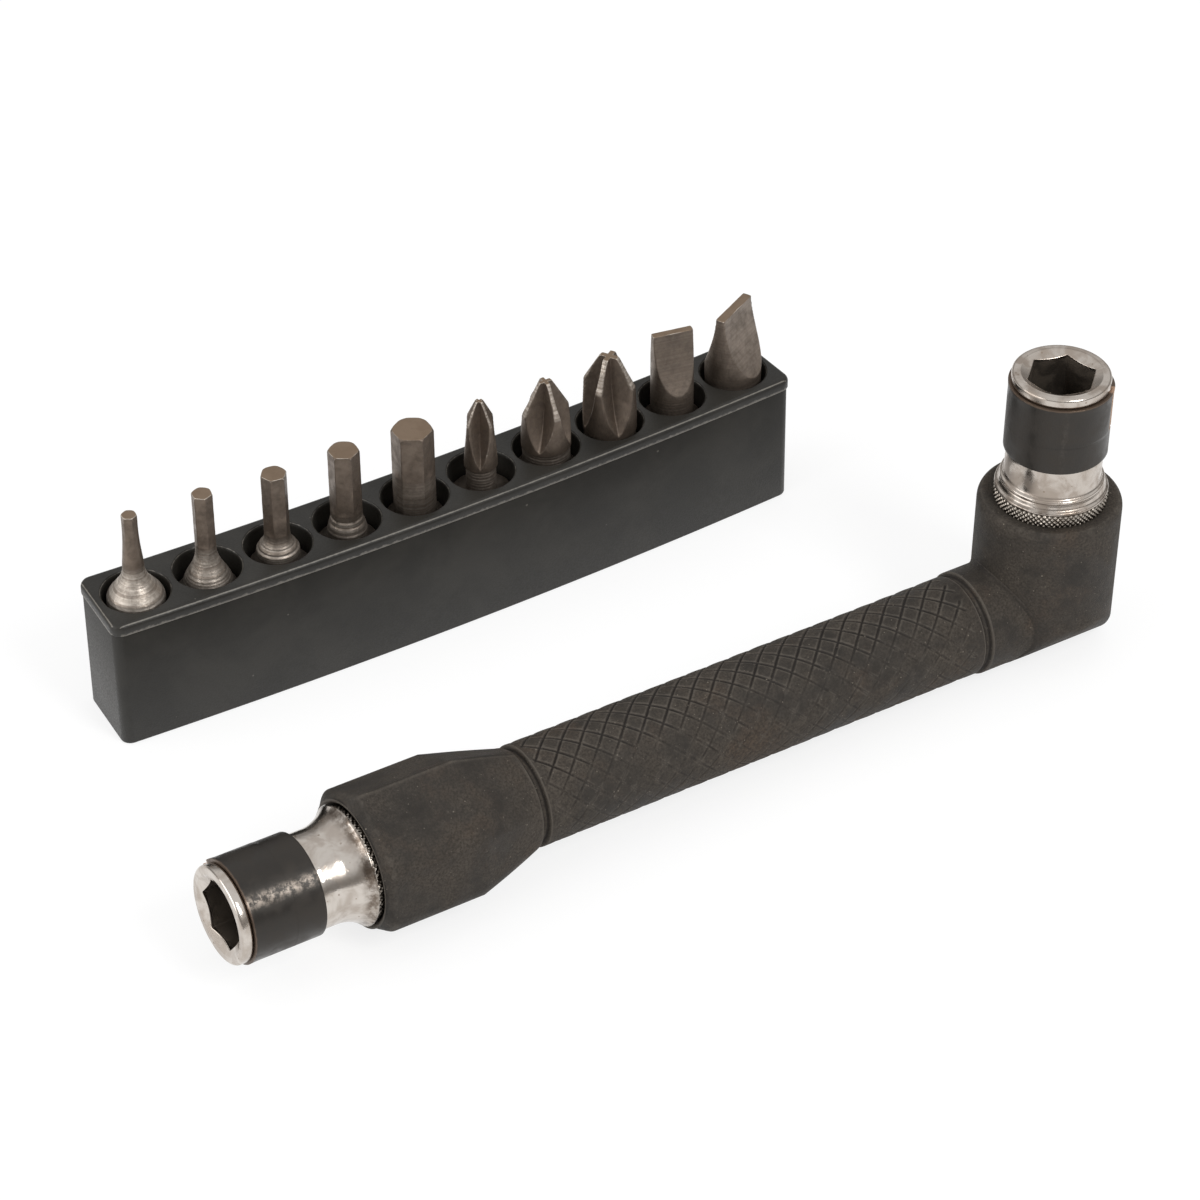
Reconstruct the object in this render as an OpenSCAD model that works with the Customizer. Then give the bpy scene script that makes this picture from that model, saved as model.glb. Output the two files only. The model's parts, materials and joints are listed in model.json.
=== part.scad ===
// Offset driver for hex insert bits, with a socket at each end, and the rack that holds its ten bits.
// The driver lies as it does on a bench: the bottom edge of its boss and the heel of its elbow touch down.
// Driver frame: the handle's axis is X, the head's axis is Z, and they cross at the origin.

/* [Driver] */
// Length from the end socket's mouth to the head's axis
reach = 99.5; // [92:0.5:130]
// Height of the head socket's mouth above the handle's axis
head_rise = 28.4; // [27.5:0.1:34]
// Diameter of the grip
grip_d = 10.9; // [10:0.1:13]
// Diameter of the plain neck between the grip and the elbow
neck_d = 11.3; // [10.4:0.1:13]
// Diameter of the upright part of the elbow
elbow_d = 15.3; // [14.6:0.1:17]
// Height of the elbow's rim above the handle's axis
elbow_h = 12.6; // [11.6:0.1:13.5]
// Width of the six-sided boss over its corners
boss_corners = 16.5; // [15.8:0.1:19]
// Length of the boss at its full width
boss_l = 11.4; // [8:0.1:14]
// Length of the boss's taper down to the grip
boss_taper_l = 7.6; // [5:0.1:10]
// Width of the grooves at the two ends of the grip
groove_w = 0.8; // [0.5:0.1:1.5]
// Depth of those grooves
groove_depth = 0.6; // [0.3:0.1:1]
// Diameter of the steel bar inside the handle
core_d = 5; // [4:0.1:6]

/* [Sockets] */
// Room across the flats in a socket, beyond a bit's own width
socket_play = 0.1; // [0.05:0.01:0.2]
// Depth of the sockets
socket_depth = 10.5; // [9.5:0.1:11.5]
// Diameter of the rim at a socket's mouth
rim_d = 10.35; // [10.2:0.05:10.6]
// Length of that rim
rim_l = 1.15; // [0.8:0.05:1.6]
// Outer diameter of the spring clips
clip_d = 10.8; // [10.7:0.05:11.6]
// Thickness of the spring clips
clip_t = 0.5; // [0.4:0.05:0.6]
// Width of the spring clips
clip_w = 7.9; // [7:0.1:8.5]
// Gap between the two ends of a spring clip
clip_gap = 1; // [0.6:0.1:1.4]
// Diameter of the detent balls
ball_d = 2; // [1.9:0.05:2.2]
// Diameter of the sockets' knurled shanks
knurl_d = 12; // [11.6:0.1:12.4]

/* [Bits] */
// Width across the flats of the bits' shanks
bit_af = 6.35; // [6.2:0.01:6.5]
// Diameter over their rounded corners
bit_corner_d = 7; // [6.9:0.02:7.05]
// Length of the first hex bit
hex_1_l = 24.9; // [23:0.1:26]
// Length of the second hex bit
hex_2_l = 24.6; // [23:0.1:26]
// Length of the third hex bit
hex_3_l = 24.1; // [23:0.1:26]
// Length of the fourth hex bit
hex_4_l = 24; // [23:0.1:26]
// Length of the fifth hex bit
hex_5_l = 23.6; // [23:0.1:26]
// Length of the small cross bit
cross_1_l = 24.1; // [23:0.1:26]
// Length of the middle cross bit
cross_2_l = 23.5; // [23:0.1:26]
// Length of the large cross bit
cross_3_l = 23.6; // [23:0.1:26]
// Length of the narrow slotted bit
slot_1_l = 23.5; // [23:0.1:26]
// Length of the wide slotted bit
slot_2_l = 23.4; // [23:0.1:26]
// Length of the full six-sided shank
shank_l = 12.6; // [12:0.1:13.4]
// Distance from a bit's foot to the notches in its corners
notch_at = 7; // [6:0.1:8]
// Width across the flats of the first hex tip
hex_1_af = 1.5; // [1.3:0.1:1.6]
// Width across the flats of the second hex tip
hex_2_af = 2; // [1.7:0.1:2.3]
// Width across the flats of the third hex tip
hex_3_af = 2.5; // [2.3:0.1:2.8]
// Width across the flats of the fourth hex tip
hex_4_af = 3; // [2.8:0.1:3.3]
// Width across the flats of the fifth hex tip
hex_5_af = 4; // [3.5:0.1:5]
// Diameter of the small cross bit's body
cross_1_d = 3.6; // [3.4:0.1:4]
// Diameter of the middle cross bit's body
cross_2_d = 5.4; // [5:0.1:5.6]
// Diameter of the large cross bit's body
cross_3_d = 5.9; // [5.6:0.1:6.2]
// Width of the narrow blade
slot_1_w = 4.6; // [4.4:0.1:5]
// Width of the wide blade
slot_2_w = 6; // [5.5:0.1:6.2]

/* [Rack] */
// Distance between the middles of the holes
hole_pitch = 8.14; // [7.9:0.02:8.6]
// Room round a bit's corners in its hole
hole_play = 0.08; // [0.04:0.01:0.1]
// Wall beside the holes
rack_wall = 1.12; // [0.8:0.01:2.5]
// Wall beyond the first and last hole
end_wall = 0.99; // [0.8:0.01:3]
// Height of the rack
rack_h = 15.85; // [13:0.05:18]
// How far the rack bows out in the middle
rack_bow = 1.25; // [0.6:0.05:3]
// Height of the lip round the top
lip_h = 1.35; // [1:0.05:2.5]
// How far the lip stands out from the sides
lip_out = 0.15; // [0.1:0.05:0.4]
// Radius of the rack's upright corners
rack_corner = 1; // [0.5:0.1:2]
// Thickness of the floor under the bits
rack_floor = 0.8; // [0.5:0.1:2]

/* [Layout] */
// Distance from the handle's axis to the middle of the rack
rack_away = 39.75; // [36:0.05:60]
// How far the head's axis lies to the right of the rack's middle
head_right = 49.2; // [40:0.1:60]
// Turn of the rack against the handle
rack_turn = -1.15; // [-10:0.05:10]

/* [Hidden] */
$fn = 96;
over = 0.5;                      // overrun of every cut
skim = 0.02;                     // overlap that joins two cuts which only meet in a face
rubber = "#2e2a26";
chrome = "#b9b5b0";
spring_black = "#262523";
steel = "#8f8d8a";
moulded_black = "#1d1c1b";
phosphate = "#5a524b";

// End socket, stations along the handle measured from the head's axis
stem_l = 2.05;                   // plain stem between the clip and the horn
horn_l = 3.2;                    // length of the horn that widens to the shank
horn_sweep = 46;                 // how far round the horn's arc goes
shank_show = 0.6;                // shank that shows between the horn and the rubber
end_shank_l = 12;                // shank inside the rubber
end_seat_l = 7;                  // how far the bar goes into it
clip_room = 0.1;                 // slack of a clip along its seat
clip_back = reach - rim_l - clip_w - clip_room;
horn_start = clip_back - stem_l;
boss_front = horn_start - horn_l - shank_show;
end_shank_back = boss_front - end_shank_l;

// Rubber
boss_kink = boss_front - boss_l;
boss_end = boss_kink - boss_taper_l;
boss_r = boss_corners / 2;
boss_round = 2.2;                // rounding of the boss's front
taper_in = 0.1;                  // how far inside the grip's radius the taper's flats end
recess_depth = 0.9;              // dish round the end socket where it enters the rubber
elbow_recess_depth = 0.25;       // dish round the head socket
recess_lip = 1.3;                // rubber left outside that dish on the boss
grip_start = 11.2;               // where the grip starts behind the neck
neck_start = 2;                  // where the neck starts inside the elbow
rim_round = 0.9;                 // rounding of the elbow's rim
heel_round = 0.9;                // rounding under the back of the elbow
elbow_step = 0.08;               // how far the elbow stands out under the neck
heel_r = neck_d / 2 + elbow_step;
heel_points = 16;

// Head socket, heights above the handle's axis
bead_h = 3.3;                    // bead's top above the rubber
bead_w = 1.2;
bead_out = 0.14;                 // how far the bead stands out from the shank
cove_h = 1.1;                    // concave step over the bead
cove_r = 0.8;
head_seat_l = 5.2;               // how far the bar goes into the head socket
bar_room = 0.3;                  // bend kept clear of the head socket's foot

// Sockets
rim_edge = 0.35;                 // rounding of the rim's edge
rim_bevel = 0.15;                // bevel of the rim towards the clip
seat_play = 0.05;                // room under a clip
seat_r = clip_d / 2 - clip_t - seat_play;
stem_step = 0.15;                // how far the stem stands over the clip's seat
stem_r = seat_r + stem_step;
socket_af = bit_af + socket_play;
mouth_bevel = 0.45;              // bevel inside the mouth
drill_tip_l = 1.2;               // cone at the bottom of a socket
drill_point_d = 0.8;
ball_r = ball_d / 2;
ball_room = 0.04;                // play round a ball in its hole
ball_play = 0.02;                // play of a ball between its lip and its clip
ball_lip = 0.22;                 // lip that keeps a ball from falling into the socket
ball_at = socket_depth - notch_at;
ball_centre = clip_d / 2 - clip_t - ball_r - ball_play;
ball_mouth_share = 0.9098;       // mouth of a ball's hole inside its lip, as a share of the ball
ball_mouth_r = ball_r * ball_mouth_share;
end_hex_turn = 27;
head_hex_turn = 43;
end_ball_turn = end_hex_turn + 210;
head_ball_turn = head_hex_turn + 90;
step_share = 0.6;                // share of a clip's width above the step in its ends
jog_share = 0.8;                 // sideways step of its ends, as a share of the gap

// Bent bar
core_r = core_d / 2;
bend_r = core_d;
head_shank_foot = bend_r + bar_room;
head_core_top = head_shank_foot + head_seat_l;

// How the driver lies
heel_reach = elbow_d / 2 - heel_round;
lie = asin((boss_r - heel_r) / norm([boss_kink + heel_reach, boss_r - heel_r]));
axis_h = heel_r * cos(lie) + heel_reach * sin(lie);

// Bits
shank_bevel = 0.5;
notch_depth = 0.35;
notch_w = 1.8;
turned_gap = 0.1;                // step in from a bit's flats where its turned part starts
turned_r = bit_af / 2 - turned_gap;
bell_share = 0.85;               // foot of the second bit's flare, as a share of the bits' width
foot_share = 1.8;                // foot of the third bit's flare, as a share of its tip's width
low_foot_share = 1.35;           // foot of the fourth bit's flare
slim_foot_share = 1.1;           // foot of the fifth bit's flare
stem_foot_share = 1.5;           // foot of the first bit's tapering stem
slim_stem_share = 1.05;          // foot of the second bit's stem
stem_top_share = 0.9;            // top of a stem, inside the tip's flats
tip_bevel = 0.15;
hex_1_turned_l = 1.6;            // turned part between a bit's shank and its flare
hex_2_turned_l = 0.3;
hex_3_turned_l = 1.4;
hex_4_turned_l = 1.5;
hex_5_turned_l = 2.9;
hex_1_flare_l = 4.4;             // bell-shaped flare under a hex tip
hex_2_flare_l = 5.3;
hex_3_flare_l = 2.6;
hex_4_flare_l = 2.1;
hex_5_flare_l = 2.5;
ring_w = 0.3;                    // turned ring on a short flare
ring_out = 0.12;
ring_gap = 0.35;                 // distance between the turned grooves under a cross tip
groove_in = 0.08;
cross_angle = 26.5;              // half angle of the cone on a cross tip
root_share = 0.3;                // flute's root at the tip, as a share of the tip's diameter
cross_1_tip_d = 0.9;
cross_2_tip_d = 1.5;
cross_3_tip_d = 2.1;
cross_1_flute_l = 8;
cross_2_flute_l = 7.9;
cross_3_flute_l = 9;
slot_1_t = 0.8;                  // thickness of the blades
slot_2_t = 1;
slot_1_facet_l = 7.1;            // length of their facets
slot_2_facet_l = 7.9;
blade_swell = 0.1;               // body beside a blade, over half the blade's width

// Rack
hole_count = 10;
hole_d = bit_corner_d + 2 * hole_play;
hole_edge = 0.25;                // bevel at the mouth of a hole
rack_w = hole_d + 2 * rack_wall + 2 * lip_out;
rack_l = (hole_count - 1) * hole_pitch + hole_d + 2 * end_wall;
bow_r = ((rack_l / 2) ^ 2 + rack_bow ^ 2) / (2 * rack_bow);
pitch_angle = hole_pitch / bow_r * 180 / PI;

// Middle of the whole, so that the origin lies under it
corner_angle = asin((rack_l / 2 - rack_corner) / bow_r);
corner_bow_r = bow_r - rack_w / 2 + rack_corner;
left_reach = (reach - rim_edge) * cos(lie) + (rim_d / 2 - rim_edge) * sin(lie) + rim_edge - head_right;
right_reach = head_right + (elbow_d / 2 - rim_round) * cos(lie) + (elbow_h - rim_round) * sin(lie) + rim_round;
back_reach = corner_bow_r * sin(corner_angle) * sin(abs(rack_turn)) + rack_corner
    + (bow_r - corner_bow_r * cos(corner_angle)) * cos(rack_turn);
front_reach = rack_away + elbow_d / 2;
middle_x = (right_reach - left_reach) / 2;
middle_y = (back_reach - front_reach) / 2;

function arc_points(x, y, r, from, to, steps = 8) =
    [for (i = [0 : steps]) let (a = from + (to - from) * i / steps) [x + r * cos(a), y + r * sin(a)]];

// Bell-shaped outline that eases from one radius to another
function bell_points(r1, z1, r2, z2, steps = 12) =
    [for (i = [0 : steps]) [(r1 + r2) / 2 + (r1 - r2) / 2 * cos(180 * i / steps), z1 + (z2 - z1) * i / steps]];

module laid() {
    translate([head_right - middle_x, -rack_away - middle_y, axis_h])
        rotate([0, lie, 0])
            children();
}

// Turns something that points up so that it points along the handle, away from the head
module along_handle() {
    rotate([0, -90, 0])
        children();
}

// Rubber cover

// Two opposite sides of the boss, with the flats of its full width and of its taper
module boss_sides(turn) {
    flat_share = cos(30);
    wide = boss_r * flat_share;
    small = grip_d / 2 - taper_in;
    rotate([90, 0, turn])
        linear_extrude(height = 4 * boss_r, center = true)
            polygon([
                [-small, boss_end], [small, boss_end], [wide, boss_kink], [wide, boss_front + over],
                [-wide, boss_front + over], [-wide, boss_kink]]);
}

// The taper's corners are turned off towards the grip, so that its small end is nearly round
module boss() {
    intersection() {
        boss_sides(30);
        boss_sides(90);
        boss_sides(150);
        rotate_extrude()
            polygon(concat(
                [[0, boss_end - over], [grip_d / 2, boss_end - over], [boss_r + over, boss_kink + over]],
                arc_points(boss_r - boss_round, boss_front - boss_round, boss_round, 0, 90),
                [[0, boss_front]]));
    }
}

module grip_bar() {
    grip_r = grip_d / 2;
    floor_r = grip_r - groove_depth;
    rotate_extrude()
        polygon([
            [0, neck_start], [neck_d / 2, neck_start], [neck_d / 2, grip_start - groove_w],
            [floor_r, grip_start - groove_w / 2], [floor_r, grip_start], [grip_r, grip_start + groove_w / 2],
            [grip_r, boss_end - groove_w], [floor_r, boss_end - groove_w / 2],
            [floor_r, boss_end + over], [0, boss_end + over]]);
}

// Section of the elbow: upright sides, and under the handle's axis flats that close in on the neck's round
module elbow_section() {
    side = elbow_d / 2;
    lean = acos(heel_r / side);
    polygon(concat(
        [[side + over, elbow_h + over], [side + over, 0], [side, 0]],
        arc_points(0, 0, heel_r, -lean, lean - 180, heel_points),
        [[-side, 0], [-side - over, 0], [-side - over, elbow_h + over]]));
}

module elbow_block() {
    intersection() {
        rotate_extrude()
            polygon(concat(
                [[0, -heel_r]],
                arc_points(elbow_d / 2 - heel_round, heel_round - heel_r, heel_round, -90, 0),
                arc_points(elbow_d / 2 - rim_round, elbow_h - rim_round, rim_round, 0, 90),
                [[0, elbow_h]]));
        rotate([90, 0, 90])
            linear_extrude(height = elbow_d + over, center = true)
                elbow_section();
    }
}

// Shallow dish round a shank, up to the height given
module dish(top, outer_r, depth) {
    translate([0, 0, top - depth])
        cylinder(r1 = knurl_d / 2, r2 = outer_r, h = depth + skim);
}

module handle_cover() {
    color(rubber)
        laid()
            difference() {
                union() {
                    along_handle() {
                        boss();
                        grip_bar();
                    }
                    elbow_block();
                }
                along_handle() {
                    end_shank();
                    dish(boss_front, boss_r - recess_lip, recess_depth);
                }
                head_shank();
                dish(elbow_h, elbow_d / 2 - rim_round, elbow_recess_depth);
                bar_shape();
            }
}

// Steel bar, bent through a right angle at the elbow

module bar_shape() {
    along_handle()
        translate([0, 0, bend_r])
            cylinder(r = core_r, h = end_shank_back + end_seat_l - bend_r);
    translate([-bend_r, 0, bend_r])
        rotate([90, 0, 0])
            rotate_extrude(angle = -90)
                translate([bend_r, 0])
                    circle(r = core_r);
    translate([0, 0, bend_r])
        cylinder(r = core_r, h = head_core_top - bend_r);
}

module core_bar() {
    color(steel)
        laid()
            bar_shape();
}

// Sockets

module end_shank() {
    translate([0, 0, end_shank_back])
        cylinder(d = knurl_d, h = end_shank_l + over);
}

module head_shank() {
    translate([0, 0, head_shank_foot])
        cylinder(d = knurl_d, h = elbow_h - head_shank_foot + over);
}

// Outline of the mouth, the rim and the clip's seat, down to the top of the stem
function mouth_points(top) = concat(
    [[0, top]],
    arc_points(rim_d / 2 - rim_edge, top - rim_edge, rim_edge, 90, 0),
    [[rim_d / 2, top - rim_l + rim_bevel], [rim_d / 2 - rim_bevel, top - rim_l],
     [seat_r, top - rim_l], [seat_r, top - rim_l - clip_w - clip_room],
     [stem_r, top - rim_l - clip_w - clip_room]]);

// Six-sided bore, with a drilled hole for the ball that catches a bit
module hex_bore(top, hex_turn, ball_turn) {
    translate([0, 0, top - socket_depth])
        rotate([0, 0, hex_turn])
            cylinder(d = socket_af / cos(30), h = socket_depth + over, $fn = 6);
    translate([0, 0, top - mouth_bevel])
        cylinder(d1 = socket_af, d2 = socket_af + 4 * mouth_bevel, h = mouth_bevel + skim);
    translate([0, 0, top - socket_depth - drill_tip_l])
        cylinder(d1 = drill_point_d, d2 = socket_af, h = drill_tip_l + skim);
    translate([0, 0, top - ball_at])
        rotate([0, 90, ball_turn]) {
            cylinder(r = ball_mouth_r, h = stem_r);
            translate([0, 0, socket_af / 2 + ball_lip])
                cylinder(r = ball_r + ball_room, h = stem_r);
        }
}

module end_socket() {
    horn_r = horn_l / sin(horn_sweep);
    color(chrome)
        laid()
            along_handle()
                difference() {
                    rotate_extrude()
                        polygon(concat(
                            mouth_points(reach),
                            arc_points(stem_r + horn_r, horn_start, horn_r, 180, 180 + horn_sweep),
                            [[knurl_d / 2, boss_front + shank_show / 2], [knurl_d / 2, end_shank_back],
                             [0, end_shank_back]]));
                    hex_bore(reach, end_hex_turn, end_ball_turn);
                    translate([0, 0, end_shank_back - over])
                        cylinder(r = core_r, h = end_seat_l + over);
                }
}

module head_socket() {
    bead_top = elbow_h + bead_h;
    bead_r = bead_w / 2;
    bead_x = knurl_d / 2 + bead_out - bead_r;
    color(chrome)
        laid()
            difference() {
                rotate_extrude()
                    polygon(concat(
                        mouth_points(head_rise),
                        arc_points(stem_r + cove_r, bead_top + cove_h, cove_r, 180, 270),
                        arc_points(bead_x, bead_top - bead_r, bead_r, 90, -90),
                        [[knurl_d / 2, bead_top - bead_w], [knurl_d / 2, head_shank_foot],
                         [0, head_shank_foot]]));
                hex_bore(head_rise, head_hex_turn, head_ball_turn);
                translate([0, 0, head_shank_foot - over])
                    cylinder(r = core_r, h = head_seat_l + over);
            }
}

// Spring clips, split rings whose ends step sideways opposite the ball

module clip_ring(top, ball_turn) {
    low = top - rim_l - clip_room / 2 - clip_w;
    step_at = low + clip_w * (1 - step_share);
    difference() {
        translate([0, 0, low])
            rotate_extrude()
                translate([clip_d / 2 - clip_t, 0])
                    square([clip_t, clip_w]);
        rotate([0, 0, ball_turn + 180]) {
            translate([0, -clip_gap / 2, step_at])
                cube([clip_d, clip_gap, clip_w]);
            translate([0, clip_gap * (jog_share - 1 / 2), low - over])
                cube([clip_d, clip_gap, step_at - low + over + clip_t / 2]);
        }
    }
}

module end_clip() {
    color(spring_black)
        laid()
            along_handle()
                clip_ring(reach, end_ball_turn);
}

module head_clip() {
    color(spring_black)
        laid()
            clip_ring(head_rise, head_ball_turn);
}

module detent_ball(top, ball_turn) {
    rotate([0, 0, ball_turn])
        translate([ball_centre, 0, top - ball_at])
            sphere(r = ball_r);
}

module end_ball() {
    color(steel)
        laid()
            along_handle()
                detent_ball(reach, end_ball_turn);
}

module head_ball() {
    color(steel)
        laid()
            detent_ball(head_rise, head_ball_turn);
}

// Rack

module rack_place() {
    translate([-middle_x, -middle_y, 0])
        rotate([0, 0, rack_turn])
            children();
}

// Bar that follows the bow, with rounded corners
module bowed_outline(width, length) {
    half = asin((length / 2 - rack_corner) / bow_r);
    translate([0, bow_r]) {
        intersection() {
            difference() {
                circle(r = bow_r + width / 2, $fn = 1440);
                circle(r = bow_r - width / 2, $fn = 1440);
            }
            polygon(2 * bow_r * [[0, 0], [-sin(half), -cos(half)], [sin(half), -cos(half)]]);
        }
        for (side = [-1, 1])
            rotate(side * half)
                translate([0, -bow_r]) {
                    translate([min(0, side * rack_corner), -width / 2 + rack_corner])
                        square([rack_corner, width - 2 * rack_corner]);
                    for (edge = [-1, 1])
                        translate([0, edge * (width / 2 - rack_corner)])
                            circle(r = rack_corner);
                }
    }
}

module at_hole(i) {
    translate([0, bow_r, 0])
        rotate([0, 0, (i - (hole_count - 1) / 2) * pitch_angle])
            translate([0, -bow_r, 0])
                children();
}

module bit_rack() {
    color(moulded_black)
        rack_place()
            difference() {
                union() {
                    linear_extrude(height = rack_h)
                        bowed_outline(rack_w - 2 * lip_out, rack_l - 2 * lip_out);
                    translate([0, 0, rack_h - lip_h])
                        linear_extrude(height = lip_h)
                            bowed_outline(rack_w, rack_l);
                }
                for (i = [0 : hole_count - 1])
                    at_hole(i) {
                        translate([0, 0, rack_floor])
                            cylinder(d = hole_d, h = rack_h);
                        translate([0, 0, rack_h - hole_edge])
                            cylinder(d1 = hole_d, d2 = hole_d + 2 * hole_edge, h = hole_edge + skim);
                    }
            }
}

// Bits

module in_rack(i, turn) {
    color(phosphate)
        rack_place()
            at_hole(i)
                translate([0, 0, rack_floor])
                    rotate([0, 0, turn])
                        children();
}

module bit_shank() {
    corner_r = bit_corner_d / 2;
    difference() {
        intersection() {
            cylinder(d = bit_af / cos(30), h = shank_l, $fn = 6);
            rotate_extrude()
                polygon([
                    [0, 0], [corner_r - shank_bevel, 0], [corner_r, shank_bevel],
                    [corner_r, shank_l - shank_bevel], [corner_r - shank_bevel, shank_l], [0, shank_l]]);
        }
        translate([0, 0, notch_at - notch_w / 2])
            rotate_extrude()
                polygon([
                    [corner_r - notch_depth, notch_w / 2], [corner_r + over, 0], [corner_r + over, notch_w]]);
    }
}

// Hex tip on a tapering stem and a bell-shaped flare that starts at the radius given
module hex_bit(length, af, foot_r, stem_share, turned, flare, ringed = false) {
    neck_r = af / 2;
    flare_z = shank_l + turned;
    stem_z = flare_z + flare;
    ring_r = foot_r + (neck_r - foot_r) / 3;
    bit_shank();
    rotate_extrude()
        polygon(concat(
            [[0, shank_l - over], [foot_r, shank_l - over]],
            bell_points(foot_r, flare_z, neck_r * stem_share, stem_z),
            [[neck_r * stem_top_share, length - af], [0, length - af]]));
    if (ringed)
        translate([0, 0, flare_z + flare / 3])
            cylinder(r = ring_r + ring_out, h = ring_w);
    intersection() {
        translate([0, 0, shank_l])
            cylinder(d = af / cos(30), h = length - shank_l, $fn = 6);
        rotate_extrude()
            polygon([
                [0, shank_l], [af, shank_l], [af, length - af + neck_r - tip_bevel],
                [neck_r, length], [0, length]]);
    }
}

// Cross tip with four flutes that run out up the body
module cross_bit(length, body_d, tip_d, flute_l) {
    body_r = body_d / 2;
    cone_l = (body_d - tip_d) / 2 / tan(cross_angle);
    root = tip_d * root_share;
    flute_lean = atan((body_r - root) / flute_l);
    groove_z = length - flute_l - 2 * ring_gap;
    bit_shank();
    difference() {
        rotate_extrude()
            polygon([
                [0, shank_l - over], [body_r, shank_l - over], [body_r, length - cone_l],
                [tip_d / 2, length], [0, length]]);
        for (i = [0 : 3])
            rotate([0, 0, 90 * i + 45])
                translate([root, 0, length])
                    rotate([0, -flute_lean, 0])
                        rotate([0, 0, -45])
                            translate([0, 0, -length])
                                cube([length, length, 2 * length]);
        for (z = [shank_l + ring_gap : ring_gap : groove_z])
            translate([0, 0, z])
                rotate_extrude()
                    polygon([
                        [body_r - groove_in, 0], [body_r + groove_in, -groove_in], [body_r + groove_in, groove_in]]);
    }
}

// Blade ground from a turned body, with two long facets
module slot_bit(length, blade_w, blade_t, foot_r, facet_l) {
    tip_r = blade_w / 2;
    bit_shank();
    intersection() {
        rotate_extrude()
            polygon([
                [0, shank_l - over], [foot_r, shank_l - over], [foot_r, shank_l],
                [tip_r + blade_swell, length - facet_l / 2], [tip_r, length], [0, length]]);
        rotate([90, 0, 0])
            linear_extrude(height = 2 * foot_r + over, center = true)
                polygon([
                    [-foot_r, shank_l - over], [foot_r, shank_l - over], [foot_r, length - facet_l],
                    [blade_t / 2, length], [-blade_t / 2, length], [-foot_r, length - facet_l]]);
    }
}

module bit_hex_1() {
    in_rack(0, 29)
        hex_bit(hex_1_l, hex_1_af, turned_r, stem_foot_share, hex_1_turned_l, hex_1_flare_l);
}

module bit_hex_2() {
    in_rack(1, 22)
        hex_bit(hex_2_l, hex_2_af, bit_af * bell_share / 2, slim_stem_share, hex_2_turned_l, hex_2_flare_l);
}

module bit_hex_3() {
    in_rack(2, 53)
        hex_bit(hex_3_l, hex_3_af, hex_3_af * foot_share / 2, 1, hex_3_turned_l, hex_3_flare_l, true);
}

module bit_hex_4() {
    in_rack(3, 29)
        hex_bit(hex_4_l, hex_4_af, hex_4_af * low_foot_share / 2, 1, hex_4_turned_l, hex_4_flare_l, true);
}

module bit_hex_5() {
    in_rack(4, 29)
        hex_bit(hex_5_l, hex_5_af, hex_5_af * slim_foot_share / 2, 1, hex_5_turned_l, hex_5_flare_l);
}

module bit_cross_1() {
    in_rack(5, 13)
        cross_bit(cross_1_l, cross_1_d, cross_1_tip_d, cross_1_flute_l);
}

module bit_cross_2() {
    in_rack(6, -2)
        cross_bit(cross_2_l, cross_2_d, cross_2_tip_d, cross_2_flute_l);
}

module bit_cross_3() {
    in_rack(7, 39)
        cross_bit(cross_3_l, cross_3_d, cross_3_tip_d, cross_3_flute_l);
}

module bit_slot_1() {
    in_rack(8, 76)
        slot_bit(slot_1_l, slot_1_w, slot_1_t, slot_1_w / 2 + blade_swell, slot_1_facet_l);
}

module bit_slot_2() {
    in_rack(9, -66)
        slot_bit(slot_2_l, slot_2_w, slot_2_t, turned_r, slot_2_facet_l);
}

handle_cover();
core_bar();
end_socket();
head_socket();
end_clip();
head_clip();
end_ball();
head_ball();
bit_rack();
bit_hex_1();
bit_hex_2();
bit_hex_3();
bit_hex_4();
bit_hex_5();
bit_cross_1();
bit_cross_2();
bit_cross_3();
bit_slot_1();
bit_slot_2();
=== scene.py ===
import json
import math
import bmesh
import bpy
import numpy as np
from mathutils import Matrix, Vector


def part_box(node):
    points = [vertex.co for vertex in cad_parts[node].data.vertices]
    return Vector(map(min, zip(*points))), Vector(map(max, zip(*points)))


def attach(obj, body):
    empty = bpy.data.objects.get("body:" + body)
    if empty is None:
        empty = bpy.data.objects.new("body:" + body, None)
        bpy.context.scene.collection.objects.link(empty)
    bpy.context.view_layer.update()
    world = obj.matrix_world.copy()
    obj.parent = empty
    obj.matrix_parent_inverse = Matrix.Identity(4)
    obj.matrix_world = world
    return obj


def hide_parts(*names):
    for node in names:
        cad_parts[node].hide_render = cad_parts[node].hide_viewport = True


# Offset driver with a bit socket at each end, beside the rack that holds its ten bits

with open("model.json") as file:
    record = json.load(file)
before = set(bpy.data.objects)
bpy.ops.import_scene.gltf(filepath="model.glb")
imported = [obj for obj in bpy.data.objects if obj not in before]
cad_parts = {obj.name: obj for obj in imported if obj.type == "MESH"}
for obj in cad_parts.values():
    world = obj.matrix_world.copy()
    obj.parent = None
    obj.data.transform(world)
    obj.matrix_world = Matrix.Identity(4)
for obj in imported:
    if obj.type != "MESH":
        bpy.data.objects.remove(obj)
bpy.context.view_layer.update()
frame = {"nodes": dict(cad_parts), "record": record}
mounts = {mount["name"]: mount for mount in frame["record"]["mounts"]}
mm = 0.001
print("frame loaded:", len(frame["nodes"]), "nodes")


# Places, taken from the frame

driver = {
    "reach": 99.5,          # end socket's mouth from the head's axis
    "headRise": 28.4,       # head socket's mouth over the handle's axis
}
rack = {
    "length": 82.4, "width": 9.7, "height": 15.85,
    "bow": 1.25,            # how far the middle bows out
    "turn": -1.15,          # against the handle, degrees
    "holes": 10, "pitch": 8.14, "holeR": 3.58, "floor": 0.79,
    "holeEdge": 0.22, "burr": 0.03,
    "corner": 1.3, "lipHeight": 1.35, "lipOut": 0.15,
    "topRound": 0.6, "footRound": 0.25,
}
bowRadius = (rack["length"] ** 2 / 4 + rack["bow"] ** 2) / (2 * rack["bow"])     # of the rack's middle line


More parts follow.
